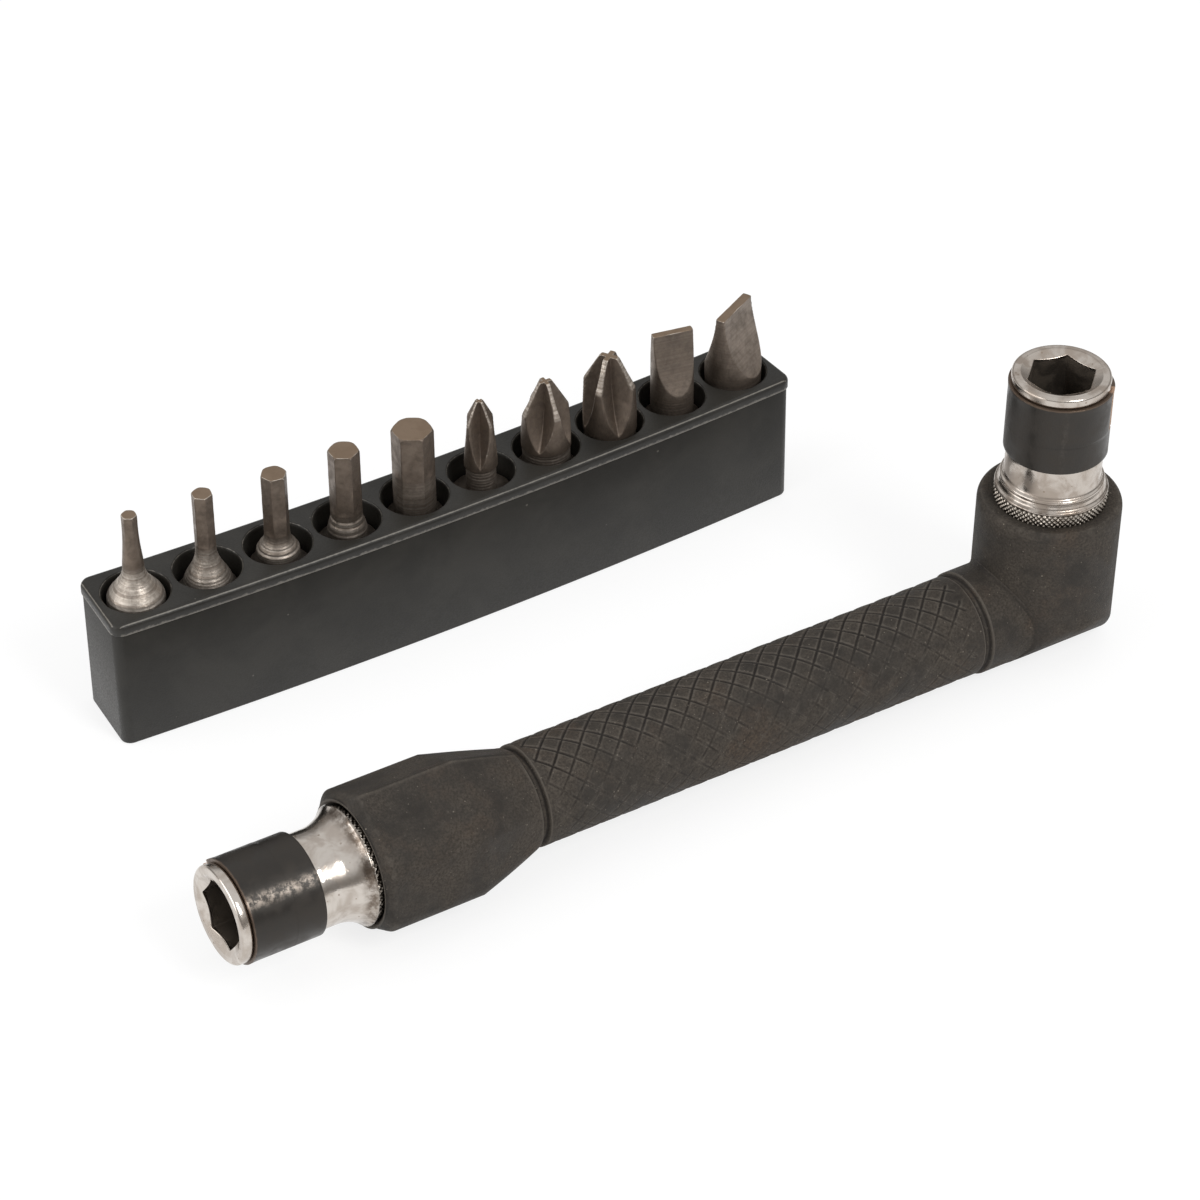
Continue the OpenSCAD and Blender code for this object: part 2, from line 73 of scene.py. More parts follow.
def axesPlace(axes, origin):
    place = Matrix.Identity(4)
    for column, axis in enumerate(axes):
        for row in range(3):
            place[row][column] = axis[row]
    place.translation = origin
    return place


def linked(name, data):
    made = bpy.data.objects.new(name, data)
    bpy.context.scene.collection.objects.link(made)
    return made


def driverPlace():
    headAxis = Vector(mounts["head_socket_mouth"]["axis"]).normalized()
    alongX = -Vector(mounts["end_socket_mouth"]["axis"]).normalized()
    side = headAxis.cross(alongX)
    crossing = Vector(mounts["head_socket_mouth"]["pos_m"]) - headAxis * driver["headRise"] * mm
    return axesPlace((alongX, side, headAxis), crossing)


def alongHandle():
    return driverPlace() @ Matrix.Rotation(math.radians(-90), 4, "Y")


def rackPlace():
    base = Vector(mounts["rack_base"]["pos_m"])
    return Matrix.Translation(base) @ Matrix.Rotation(math.radians(rack["turn"]), 4, "Z")


def bitPlace(index, node, turn):
    low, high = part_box(node)
    foot = Vector(((low.x + high.x) / 2, (low.y + high.y) / 2, low.z))
    holeTurn = math.degrees(rack["pitch"] / bowRadius) * (index - (rack["holes"] - 1) / 2)
    turned = math.radians(rack["turn"] + holeTurn + turn)
    return Matrix.Translation(foot) @ Matrix.Rotation(turned, 4, "Z")


# Mesh building, all in millimetres in the piece's own frame

def smoothMin(a, b, k):
    gap = np.maximum(k - np.abs(a - b), 0) / k
    return np.minimum(a, b) - gap * gap * k / 4


def smoothMax(a, b, k):
    return -smoothMin(-a, -b, k)


def easeStep(x, low, high):
    t = np.clip((x - low) / (high - low), 0, 1)
    return t * t * (3 - 2 * t)


# Cheap smooth noise between -1 and 1, the same on each run.
def ripple(*angles):
    total = 0
    for step, angle in enumerate(angles):
        wave = np.sin(angle * (1.7 + step * 0.61) + step * 2.3)
        total = total + wave * np.cos(angle * (0.9 + step * 0.37) + 1.1)
    return total / len(angles)


# Distance from the middle to the edge of a regular polygon with blended corners.
def polygonRadius(theta, apothem, sides, firstCorner=0.0, cornerBlend=0.2):
    sector = 2 * math.pi / sides
    flat = (theta - firstCorner) % sector - sector / 2
    nearest = apothem / np.cos(flat)
    other = apothem / np.maximum(np.cos(sector - np.abs(flat)), 0.05)
    return smoothMin(nearest, other, cornerBlend)


def storeValues(mesh, values):
    for label, numbers in values.items():
        layer = mesh.attributes.new(label, "FLOAT", "POINT")
        layer.data.foreach_set("value", np.asarray(numbers, np.float32).ravel())


def meshObject(name, points, faces, place, values):
    mesh = bpy.data.meshes.new(name)
    mesh.vertices.add(len(points))
    mesh.vertices.foreach_set("co", (np.asarray(points, float) * mm).ravel())
    quads = np.asarray(faces, np.int32)
    mesh.loops.add(quads.size)
    mesh.loops.foreach_set("vertex_index", quads.ravel())
    mesh.polygons.add(len(quads))
    starts = np.arange(len(quads), dtype=np.int32) * quads.shape[1]
    mesh.polygons.foreach_set("loop_start", starts)
    mesh.update(calc_edges=True)
    mesh.validate()
    mesh.transform(place)
    mesh.polygons.foreach_set("use_smooth", [True] * len(mesh.polygons))
    storeValues(mesh, values)
    return linked(name, mesh)


def gridFaces(rows, columns, wrap=True):
    last = columns if wrap else columns - 1
    i, j = np.meshgrid(np.arange(rows - 1), np.arange(last), indexing="ij")
    k = (j + 1) % columns
    this, above = i * columns, (i + 1) * columns
    return np.stack([this + j, this + k, above + k, above + j], -1).reshape(-1, 4)


# Surface through rings: z and r are (rings, angles). Rings whose radius is tiny close an end.
def ringMesh(name, z, r, theta, place, values):
    z = np.broadcast_to(z, r.shape)
    points = np.stack([r * np.cos(theta), r * np.sin(theta), z], -1).reshape(-1, 3)
    return meshObject(name, points, gridFaces(*r.shape), place, values)


# Writes how sharply the surface turns: edge where it bulges, cavity where it is hollow.
def storeCurvature(piece, reach):
    mesh = piece.data
    count = len(mesh.vertices)
    position = np.empty(count * 3)
    normal = np.empty(count * 3)
    mesh.vertices.foreach_get("co", position)
    mesh.vertices.foreach_get("normal", normal)
    position = position.reshape(-1, 3) / mm
    normal = normal.reshape(-1, 3)
    ends = np.empty(len(mesh.edges) * 2, np.int32)
    mesh.edges.foreach_get("vertices", ends)
    a, b = ends.reshape(-1, 2).T
    along = position[b] - position[a]
    length = np.maximum(np.linalg.norm(along, axis=1), 1e-4)
    bend = ((normal[b] - normal[a]) * along).sum(1) / length ** 2
    total = np.bincount(a, bend * length, count) + np.bincount(b, bend * length, count)
    weight = np.bincount(a, length, count) + np.bincount(b, length, count)
    curve = total / np.maximum(weight, 1e-6)
    for _ in range(2):
        summed = np.bincount(a, curve[b], count) + np.bincount(b, curve[a], count)
        near = np.bincount(a, minlength=count) + np.bincount(b, minlength=count)
        curve = (curve + summed / np.maximum(near, 1)) / 2
    storeValues(mesh, {"edge": np.clip(curve * reach, 0, 1), "cavity": np.clip(-curve * reach, 0, 1)})


# Stations along an axis: each stretch is (from, to, spacing).
def stations(*stretches):
    parts = []
    for a, b, spacing in stretches:
        count = max(2, int(round(abs(b - a) / spacing)) + 1)
        parts.append(np.linspace(a, b, count)[:-1])
    return np.concatenate(parts + [[stretches[-1][1]]])


def angles(count):
    return np.linspace(0, 2 * math.pi, count, endpoint=False)


# Rubber cover: one skin along the handle and one for the elbow

rubberCover = {
    "gripR": 5.45, "neckR": 5.65, "elbowR": 7.634, "elbowTop": 13.15, "heelR": 5.72,
    "bossApothem": 7.145, "bossEndApothem": 5.3, "bossFront": 84.65, "bossKink": 73.25, "bossEnd": 65.65,
    "crisp": 0.25, "soft": 1.5,          # blends of the boss's parting edges and of its other edges
    "coneLowR": 5.5, "coneHighR": 8.25,  # cone that takes the boss's corners off
    "frontRound": 1.25, "frontDraw": 1.5, "lipR": 6.95,
    "dish": ((0.02, 0.4), (0.2, 0.62), (0.55, 0.8), (0.85, 1.05)),    # behind the front, inside the lip
    "elbowBlend": 0.9, "elbowTopBlend": 1.15, "elbowDish": 0.25, "elbowDishBlend": 0.35,
    "elbowDishFrom": 5.95, "elbowDishTo": 7.1, "elbowCentre": 3.0,
    "neckStart": 10.2, "neckEnd": 8.6, "neckWidens": (11.2, 10.6),
    "grooveDepth": 0.5, "grooveW": 0.38, "grooves": (65.2, 10.8),
    "gripFrom": 12.2, "gripTo": 64.5,
    "diamonds": 13, "diamondPitch": 2.62, "lineW": 0.09, "lineDepth": 0.17, "pillow": 0.07,
    "wornFrom": -12, "wornTo": -48, "wornLow": -112,      # degrees from the top, towards the palm
    "fillet": 0.4,
    "around": 480, "step": 0.1,
}


# Rings from the dish in front of the boss to where the neck meets the elbow.
def handleSkin():
    c = rubberCover
    theta = angles(c["around"])                  # 0 is up, along +Z of the driver
    s = stations(
        (c["bossFront"] - c["frontRound"], c["bossKink"], 0.3), (c["bossKink"], c["bossEnd"], 0.2),
        (c["bossEnd"], c["gripTo"], 0.06), (c["gripTo"], c["gripFrom"], c["step"]),
        (c["gripFrom"], c["neckStart"], 0.06), (c["neckStart"], c["neckEnd"], 0.1))[:, None]
    upBoss = (s - c["bossEnd"]) / (c["bossKink"] - c["bossEnd"])
    tapered = c["bossEndApothem"] + (c["bossApothem"] - c["bossEndApothem"]) * upBoss
    apothem = np.where(s > c["bossKink"], c["bossApothem"], tapered)
    partingNear = np.abs(np.sin(theta)) < 0.35   # the crisp edges run along the top and the bottom
    blend = np.where(partingNear, c["crisp"], c["soft"])
    boss = polygonRadius(theta[None, :], apothem, 6, 0.0, blend)
    coneR = c["coneLowR"] + (c["coneHighR"] - c["coneLowR"]) * upBoss
    boss = smoothMin(boss, np.maximum(coneR, c["coneLowR"]) + 0.25 * partingNear, 0.3)
    isBoss = easeStep(s, c["bossEnd"] - 0.1, c["bossEnd"] + 0.15)
    widened = easeStep(-s, -c["neckWidens"][0], -c["neckWidens"][1])
    bar = c["gripR"] + (c["neckR"] - c["gripR"]) * widened
    r = bar + (boss - bar) * isBoss
    for groove in c["grooves"]:
        r = r - c["grooveDepth"] * np.exp(-((s - groove) / c["grooveW"]) ** 8)

    # Engraved diamonds, worn away along the side that the palm rubs
    ring = theta[None, :]
    turns = ring / (2 * math.pi) * c["diamonds"]
    along = s / c["diamondPitch"] + 0.02 * ripple(s * 0.9, ring * 2)
    lineA = np.abs((turns + along + 0.5) % 1 - 0.5) * 2
    lineB = np.abs((turns - along + 0.5) % 1 - 0.5) * 2
    cell = c["diamondPitch"] / math.sqrt(2) / 2
    cut = np.maximum(*(np.exp(-(line * cell / c["lineW"]) ** 2) for line in (lineA, lineB)))
    pillow = 1 - np.minimum(lineA, lineB)
    across = (ring + math.pi) % (2 * math.pi) - math.pi
    fromTop = np.degrees(across)
    drift = 9 * ripple(s * 0.25, s * 0.11 + 2, s * 0.6 + ring * 2)
    worn = easeStep(-fromTop + drift, -c["wornFrom"], -c["wornTo"])
    worn = worn * (1 - 0.6 * easeStep(-fromTop + drift, -c["wornLow"], -c["wornLow"] + 25))
    patchy = 0.8 + 0.2 * ripple(s * 0.7, ring * 3 + s * 0.5)
    onGrip = easeStep(s, c["gripFrom"], c["gripFrom"] + 0.4)
    onGrip = onGrip * easeStep(-s, -c["gripTo"], -c["gripTo"] + 0.4)
    keep = (1 - (0.68 + 0.2 * ripple(s * 0.5, ring * 4 + s * 0.3)) * worn) * onGrip
    engraved = cut * patchy * keep
    scratchy = easeStep(ripple(s * 1.9, ring * 5, s * 3.1 + ring * 9), -0.1, 0.5)
    scuffed = cut * worn * onGrip * scratchy
    r = r - c["lineDepth"] * engraved - c["pillow"] * pillow ** 3 * keep
    r = r - 0.03 * scuffed + 0.02 * ripple(s * 0.8, ring * 2.0 + s * 0.1) * onGrip

    # Rounded front of the boss, its lip and the dish round the socket
    turnIn = np.linspace(0, math.pi / 2, 12)[:, None]
    noseApothem = c["bossApothem"] - c["frontRound"] * (1 - np.cos(turnIn)) * 0.8
    noseR = np.minimum(polygonRadius(ring, noseApothem, 6, 0.0, blend + 0.2 * np.sin(turnIn)),
                       c["coneHighR"] - c["frontDraw"] * (1 - np.cos(turnIn)))
    noseS = c["bossFront"] - c["frontRound"] + c["frontRound"] * np.sin(turnIn)
    flatten = np.sin(turnIn) ** 3
    noseR = noseR * (1 - flatten) + (c["lipR"] - 0.15) * flatten
    dishS = np.array([c["bossFront"] - behind for behind, inside in c["dish"]])
    dishR = np.array([c["lipR"] - inside for behind, inside in c["dish"]])
    ringS = np.concatenate([dishS[::-1], noseS[::-1, 0][:-1], s[:, 0]])
    ringR = np.concatenate([np.repeat(dishR[::-1, None], len(theta), 1), noseR[::-1][:-1], r])

    # The neck runs into the elbow with a small fillet that follows the saddle
    filletR = np.clip(0.7 * (sectionRadius(theta) - c["neckR"]), 0.04, c["fillet"])
    drop = np.linspace(1, 0, 8)[:, None]
    neckR = c["neckR"] + filletR * (1 - np.sqrt(1 - (1 - drop) ** 2))
    saddle = np.sqrt(c["elbowR"] ** 2 - (neckR * np.sin(theta)) ** 2)
    neckS = saddle + filletR * drop
    tuckedS = saddle[-1:] - 0.25
    allS = np.concatenate([np.broadcast_to(ringS[:, None], ringR.shape), neckS, tuckedS])
    allR = np.concatenate([ringR, neckR, neckR[-1:]])
    shadedLines, scuffs = np.zeros_like(allR), np.zeros_like(allR)
    start = len(dishS) + len(turnIn) - 1
    parting = np.exp(-((across * boss - 0.1) / 0.09) ** 2) * isBoss * (s < c["bossFront"] - 2)
    flash = np.exp(-((across * boss + 0.15) / 0.12) ** 2) * isBoss
    # the line mark is painted shade: the engraved lines, the boss's parting lines and the crease into the
    # elbow are darkened
    shadedLines[start:start + len(s)] = np.maximum(engraved, 0.8 * parting)
    scuffs[start:start + len(s)] = np.maximum(scuffed, 0.5 * flash)
    # painted shade in the crease where the neck meets the elbow
    shadedLines[-4:] = 0.55
    return ringMesh("gripSkin", allS[::-1], allR[::-1], theta, alongHandle(),
                    {"line": shadedLines[::-1], "scuff": scuffs[::-1]})


# Radius, seen along the handle, of the elbow's section: upright sides and flats that close in below.
def sectionRadius(theta):
    c = rubberCover
    fromSide = np.abs(theta) % (2 * math.pi)
    fromSide = np.where(fromSide > math.pi, 2 * math.pi - fromSide, fromSide) - math.pi / 2
    lean = math.acos(c["heelR"] / c["elbowR"])
    below = c["heelR"] / np.cos(np.clip(lean - fromSide, 0, lean))
    above = c["elbowR"] / np.maximum(np.cos(np.clip(fromSide, -1.4, 0)), 0.1)
    return np.where(fromSide > 0, below, above)


# The elbow, found along rays from a point inside it.
def elbowSkin():
    c = rubberCover

    def outside(x, y, z):
        upright = np.hypot(x, y) - c["elbowR"]
        section = np.hypot(y, z) - sectionRadius(np.arctan2(y, z))
        section = np.where(z < 0, section, -9.0)
        top = z - c["elbowTop"]
        sides = smoothMax(upright, section, c["elbowBlend"])
        body = smoothMax(sides, top, c["elbowTopBlend"])
        spread = np.hypot(x, y)
        dish = c["elbowTop"] - c["elbowDish"] + (spread - c["elbowDishFrom"]) * 0.3
        inDish = np.where(spread < c["elbowDishTo"], z - dish, -9.0)
        return smoothMax(body, inDish, c["elbowDishBlend"])

    theta = angles(300)[None, :]
    phi = np.radians(stations((-90, -30, 1.2), (-30, 40, 1.6), (40, 61, 0.35)))[:, None]
    dx, dy = np.cos(phi) * np.cos(theta), np.cos(phi) * np.sin(theta)
    dz = np.sin(phi) * np.ones_like(theta)
    near, far = np.full(dx.shape, 2.0), np.full(dx.shape, 18.0)
    for _ in range(34):
        middle = (near + far) / 2
        out = outside(middle * dx, middle * dy, c["elbowCentre"] + middle * dz) > 0
        far = np.where(out, middle, far)
        near = np.where(out, near, middle)
    x, y, z = near * dx, near * dy, c["elbowCentre"] + near * dz
    points = np.stack([x, y, z], -1).reshape(-1, 3)
    # painted shade along the crease where the neck meets the elbow
    fromNeck = np.hypot(y, z) - c["neckR"] - c["fillet"] / 2
    creaseShade = 0.55 * np.exp(-(fromNeck / 0.35) ** 2) * (x < 0)
    return meshObject("elbowSkin", points, gridFaces(*x.shape), driverPlace(),
                      {"line": creaseShade.ravel(), "scuff": np.zeros(x.size)})


# Sockets: outline of the outside, with the six-sided bore turned into it

socket = {
    "apothem": 3.225, "depth": 10.5, "mouthBevel": 0.45, "rimR": 5.175, "rimEdge": 0.35, "rimLength": 1.15,
    "seatR": 4.85, "stemR": 5.0, "clipEnd": 9.15,
    "around": 288, "boreRings": 10,      # how many of its first rings lie inside the bore
}


# Rings (depth below the mouth, radius) from the bottom of the bore out to the rim's face.
def boreRings(turn):
    c = socket
    theta = angles(c["around"])
    hexagon = polygonRadius(theta, c["apothem"], 6, math.radians(turn), 0.12)
    rings = [(c["depth"] + 1.2, 0.001), (c["depth"] + 1.1, 0.4), (c["depth"] + 0.02, c["apothem"])]
    rings += [(at, hexagon) for at in (c["depth"], 8, 6, 4, 2.5, 1.2, 0.8)]
    for step in np.linspace(0, 1, 16):
        at = (c["mouthBevel"] + 0.12) * (1 - step)
        cone = c["apothem"] - 0.1 + 2.05 * (c["mouthBevel"] + 0.12 - at)
        rings.append((at, smoothMax(hexagon, cone * np.ones_like(theta), 0.08)))
    return rings


# The rim's face and rounding, the seat of the clip and the start of the stem.
def rimRings():
    c = socket
    edge, length, seatR = c["rimEdge"], c["rimLength"], c["seatR"]
    rings = [(0.015, 4.35), (0.006, 4.55)]
    for turn in np.radians(np.linspace(90, 0, 9)):
        rings.append((edge - edge * math.sin(turn) + 0.006, c["rimR"] - edge + edge * math.cos(turn)))
    return rings + [
        (length - 0.28, c["rimR"]), (length - 0.12, c["rimR"] - 0.04), (length - 0.02, c["rimR"] - 0.14),
        (length + 0.02, seatR + 0.05), (length + 0.06, seatR), (c["clipEnd"] - 0.1, seatR),
        (c["clipEnd"], c["stemR"] - 0.03), (c["clipEnd"] + 0.06, c["stemR"])]


def socketMesh(name, top, rings, place):
    theta = angles(socket["around"])
    z = top - np.array([np.broadcast_to(at, theta.shape) for at, r in rings])
    radius = np.array([r * np.ones_like(theta) for at, r in rings])
    inBore = (np.arange(len(rings)) < socket["boreRings"]) * 1.0
    bore = np.broadcast_to(inBore[:, None], z.shape)
    lip = easeStep(radius, 5.35, 5.85) * (z < top - 11)       # the rim next to the rubber, browned: partly tarnish, partly painted shade and painted dark reflection
    piece = ringMesh(name, z[::-1], radius[::-1], theta, place, {"bore": bore[::-1], "lip": lip[::-1]})
    storeCurvature(piece, 0.35)
    return piece


endSocket = {
    "hexTurn": 27, "hornLength": 3.2, "hornStart": 11.2, "hornSweep": 46,
    "stem": (9.8, 10.5, 11.0),
    "shank": ((14.5, 5.93), (14.6, 5.8), (16.5, 5.8)),
    "rough": (0.08, 0.24), "tarnished": (0.0, 0.42), "lipGrimeAndShade": 0.95,
}


def endSocketPiece():
    c = endSocket
    stemR = socket["stemR"]
    hornR = c["hornLength"] / math.sin(math.radians(c["hornSweep"]))
    rings = boreRings(c["hexTurn"]) + rimRings() + [(at, stemR) for at in c["stem"]]
    for turn in np.radians(np.linspace(0, c["hornSweep"], 18)):
        rings.append((c["hornStart"] + hornR * math.sin(turn), stemR + hornR * (1 - math.cos(turn))))
    return socketMesh("endSocketChrome", driver["reach"], rings + list(c["shank"]), alongHandle())


headSocket = {
    "hexTurn": 43,
    "stem": ((9.8, 5.05), (10.6, 5.08), (12.1, 5.1), (12.3, 5.115), (12.42, 5.15), (12.52, 5.21),
             (12.59, 5.29)),
    "ridge": ((12.62, 5.37), (12.66, 5.43), (12.73, 5.48), (12.83, 5.5), (12.94, 5.495), (13.0, 5.45),
              (13.06, 5.44), (13.12, 5.5), (13.25, 5.54), (13.45, 5.58), (13.58, 5.63), (13.68, 5.72)),
    "bead": ((13.73, 5.82), (13.78, 5.9), (13.86, 5.95), (13.96, 5.97), (14.05, 5.96), (14.13, 5.91),
             (14.18, 5.83), (14.2, 5.73), (18.8, 5.73)),
    "rough": (0.16, 0.36), "tarnished": (0.16, 0.6), "lipGrimeAndShade": 0.75,
}


def headSocketPiece():
    c = headSocket
    rings = boreRings(c["hexTurn"]) + rimRings() + list(c["stem"] + c["ridge"] + c["bead"])
    return socketMesh("headSocketChrome", driver["headRise"], rings, driverPlace())


knurl = {"teeth": 66, "height": 0.2, "perTooth": 12}
# the crest colour lightens the teeth's crests: painted highlight
knurlBands = {
    "endKnurl": {"low": 83.4, "high": 85.2, "radius": 6.08, "ragged": 0.85, "crestGlint": (0.85, 0.80, 0.74)},
    "headKnurl": {"low": 11.9, "high": 14.22, "radius": 6.03, "ragged": 0.22, "crestGlint": (0.58, 0.53, 0.47)},
}


# Diamond knurl: pyramids between two sets of crossing grooves, more broken up the more ragged it is.
def knurlBand(name, place):
    low, high, radius, ragged = (knurlBands[name][key] for key in ("low", "high", "radius", "ragged"))
    theta = angles(knurl["teeth"] * knurl["perTooth"])[None, :]
    z = stations((low, high, 0.06))[:, None]
    turns = theta / (2 * math.pi) * knurl["teeth"] + ragged * 0.3 * ripple(theta * 17, theta * 31)
    pitch = 2 * math.pi * radius / knurl["teeth"]
    a = np.abs((turns + z / pitch) % 1 - 0.5) * 2
    b = np.abs((turns - z / pitch) % 1 - 0.5) * 2
    tooth = np.minimum(a, b) * 1.25
    broken = ripple(theta * 23, z * 3.1 + theta * 11, theta * 47 + z * 9, theta * 71 - z * 5)
    tooth = np.clip(tooth * (1 + 0.25 * broken), 0, 1) * (1 - ragged)
    tooth = tooth + ragged * np.clip(0.5 + 1.1 * broken, 0, 1)
    edge = 1 - ragged * easeStep(z, high - 0.3, high)
    r = radius - knurl["height"] + knurl["height"] * tooth * edge - 0.15 * (1 - edge)
    deep = np.broadcast_to(easeStep(-z, -low - 1.7, -low - 0.8), r.shape)
    piece = ringMesh(name, z, r, theta[0], place, {"deep": deep})
    storeCurvature(piece, 0.12)
    return piece


# Spring clips: split rings whose ends step sideways

clip = {
    "outerR": 5.4, "thickness": 0.5, "low": 9.1, "high": 1.2,      # depths below the mouth
    "gap": 1.0, "jog": 0.8, "stepShare": 0.6, "lift": 0.1, "liftLength": 2.2, "flare": 0.05,
    "edge": 0.07, "around": 220,
}
clipMarks = {                            # where the gap stands, and the light streak beside it: partly rubbed paint, partly painted highlight
    "endClip": {"gapTurn": 57, "scuffAndHighlightTurn": 4.5, "scuffAndHighlightWidth": 0.2, "scuffAndHighlightShare": 0.85},
    "headClip": {"gapTurn": 313, "scuffAndHighlightTurn": 5.0, "scuffAndHighlightWidth": 0.1, "scuffAndHighlightShare": 0.05},
}


def clipPiece(name, top, gapTurn, place):
    c = clip
    width = c["low"] - c["high"]
    stepAt = top - c["low"] + width * (1 - c["stepShare"])
    low, high = top - c["low"], top - c["high"]
    z = np.concatenate([np.linspace(low, stepAt - 0.02, 12), np.linspace(stepAt + 0.02, high, 20)])
    z = z[:, None]
    u = np.linspace(0, 1, c["around"])[None, :]
    shift = np.where(z < stepAt, c["jog"] * c["gap"], 0)
    start = (shift + c["gap"] / 2) / c["outerR"]
    sweep = 2 * math.pi - c["gap"] / c["outerR"]
    theta = math.radians(gapTurn) + start + u * sweep
    fromEnd = np.minimum(u, 1 - u) * 2 * math.pi * c["outerR"]
    lifted = c["lift"] * np.exp(-(fromEnd / c["liftLength"]) ** 2)
    flare = c["flare"] * np.exp(-((high - z) / 0.5) ** 2)
    outer = c["outerR"] + lifted + flare
    inner = outer - c["thickness"]
    rows, columns = theta.shape
    layers = []
    for r in (outer, inner):
        layer = np.stack([r * np.cos(theta), r * np.sin(theta), z + 0 * theta], -1)
        layers.append(layer.reshape(-1, 3))
    count = rows * columns
    faces = [gridFaces(rows, columns, False), gridFaces(rows, columns, False)[:, ::-1] + count]
    index = np.arange(count).reshape(rows, columns)

    def rim(line, flip):
        strip = np.stack([line[:-1], line[1:], line[1:] + count, line[:-1] + count], -1)
        faces.append(strip[:, ::-1] if not flip else strip)

    rim(index[0], False)
    rim(index[-1], True)
    rim(index[:, 0], True)
    rim(index[:, -1], False)
    cut = np.exp(-(fromEnd / 0.12) ** 2) + 0 * z
    brow = np.exp(-((high - z) / 0.14) ** 2) + 0 * theta
    turnNow = (theta - math.radians(gapTurn)) + 0 * z
    values = {label: np.tile(numbers.ravel(), 2)
              for label, numbers in (("cut", cut), ("brow", brow), ("turn", turnNow))}
    piece = meshObject(name, np.concatenate(layers), np.concatenate(faces), place, values)
    bevel = piece.modifiers.new("edges", "BEVEL")
    bevel.width = c["edge"] * mm
    bevel.segments = 2
    bevel.limit_method = "ANGLE"
    bevel.angle_limit = math.radians(50)
    return piece


# Rack

# From straight rack coordinates to the bowed bar.
def bend(u, v):
    a = u / bowRadius
    return (bowRadius - v) * np.sin(a), bowRadius - (bowRadius - v) * np.cos(a)


def rackOutline(inset):
    c = rack
    halfL, halfW = c["length"] / 2 - inset, c["width"] / 2 - inset
    corner = max(c["corner"] - inset, 0.3)
    u, v = [], []
    for side, (sx, sy) in enumerate(((1, 1), (-1, 1), (-1, -1), (1, -1))):
        for turn in np.radians(np.linspace(90 * side, 90 * side + 90, 9)):
            u.append(sx * (halfL - corner) + corner * math.cos(turn))
            v.append(sy * (halfW - corner) + corner * math.sin(turn))
        if side in (0, 2):
            for share in np.linspace(0, 1, 62)[1:-1]:
                u.append((sx * (halfL - corner)) * (1 - 2 * share))
                v.append(sy * halfW)
    return np.array(u), np.array(v)


def rackPiece():
    c = rack
    levels = [(c["footRound"], 0.0), (0.06, c["footRound"] * 0.45), (0.0, c["footRound"])]
    levels = [(c["lipOut"] + inset, z) for inset, z in levels]
    lipLow = c["height"] - c["lipHeight"]
    levels += [(c["lipOut"], lipLow - 0.16), (c["lipOut"] + 0.05, lipLow - 0.08),
               (c["lipOut"] + 0.05, lipLow - 0.02), (0.03, lipLow), (0.0, lipLow + 0.05)]
    top, turnR = c["height"], c["topRound"]
    levels += [(turnR * (1 - math.cos(a)), top - turnR + turnR * math.sin(a))
               for a in np.radians(np.linspace(0, 90, 13))]
    levels.append((turnR + 0.18, top))
    points = []
    for inset, z in levels:
        u, v = rackOutline(inset)
        x, y = bend(u, v)
        points.append(np.stack([x, y, np.full_like(x, z)], -1))
    around = len(points[0])
    mesh = bpy.data.meshes.new("rackBody")
    faces = [list(map(int, f)) for f in gridFaces(len(levels), around)]
    faces.append(list(range(around))[::-1])
    faces.append([len(levels) * around - around + i for i in range(around)])
    mesh.from_pydata([tuple(p) for p in np.concatenate(points)], [], faces)
    body = linked("rackBody", mesh)

    cutter = bpy.data.meshes.new("holeCutters")
    theta = angles(72)
    cutPoints, cutFaces = [], []
    for hole in range(c["holes"]):
        at = (hole - (c["holes"] - 1) / 2) * c["pitch"]
        x0, y0 = bend(at, 0.0)
        edge = c["burr"] * ripple(theta * 5 + hole, theta * 9 + hole * 2.1, theta * 3)
        holeR, rounding = c["holeR"], c["holeEdge"]
        rings = [(0.001, c["floor"]), (holeR, c["floor"]), (holeR, top - rounding - 0.3),
                 (holeR + 0.02, top - rounding), (holeR + 0.1, top - 0.1), (holeR + rounding, top),
                 (holeR + 0.6, top + 0.4), (0.001, top + 0.4)]
        base = len(cutPoints)
        for level, (r, z) in enumerate(rings):
            wobble = edge if 3 <= level <= 5 else 0 * theta      # only round the mouth
            for t, w in zip(theta, wobble):
                cutPoints.append((x0 + (r + w) * math.cos(t), y0 + (r + w) * math.sin(t), z))
        cutFaces += [[int(k) + base for k in f] for f in gridFaces(len(rings), len(theta))]
    cutter.from_pydata(cutPoints, [], cutFaces)
    tool = linked("holeCutters", cutter)
    for mesh in (body.data, cutter):
        work = bmesh.new()
        work.from_mesh(mesh)
        bmesh.ops.remove_doubles(work, verts=work.verts, dist=0.002)
        bmesh.ops.recalc_face_normals(work, faces=work.faces)
        work.to_mesh(mesh)
        work.free()
    cut = body.modifiers.new("holes", "BOOLEAN")
    cut.operation = "DIFFERENCE"
    cut.solver = "EXACT"
    cut.object = tool
    worked = body.evaluated_get(bpy.context.evaluated_depsgraph_get())
    holed = bpy.data.meshes.new_from_object(worked)
    holed.name = "rackBody"
    body.modifiers.clear()
    body.data = holed
    bpy.data.objects.remove(tool)
    holed.transform(rackPlace() @ Matrix.Scale(mm, 4))
    for polygon in holed.polygons:
        polygon.use_smooth = True
    holed.set_sharp_from_angle(angle=math.radians(38))
    return body


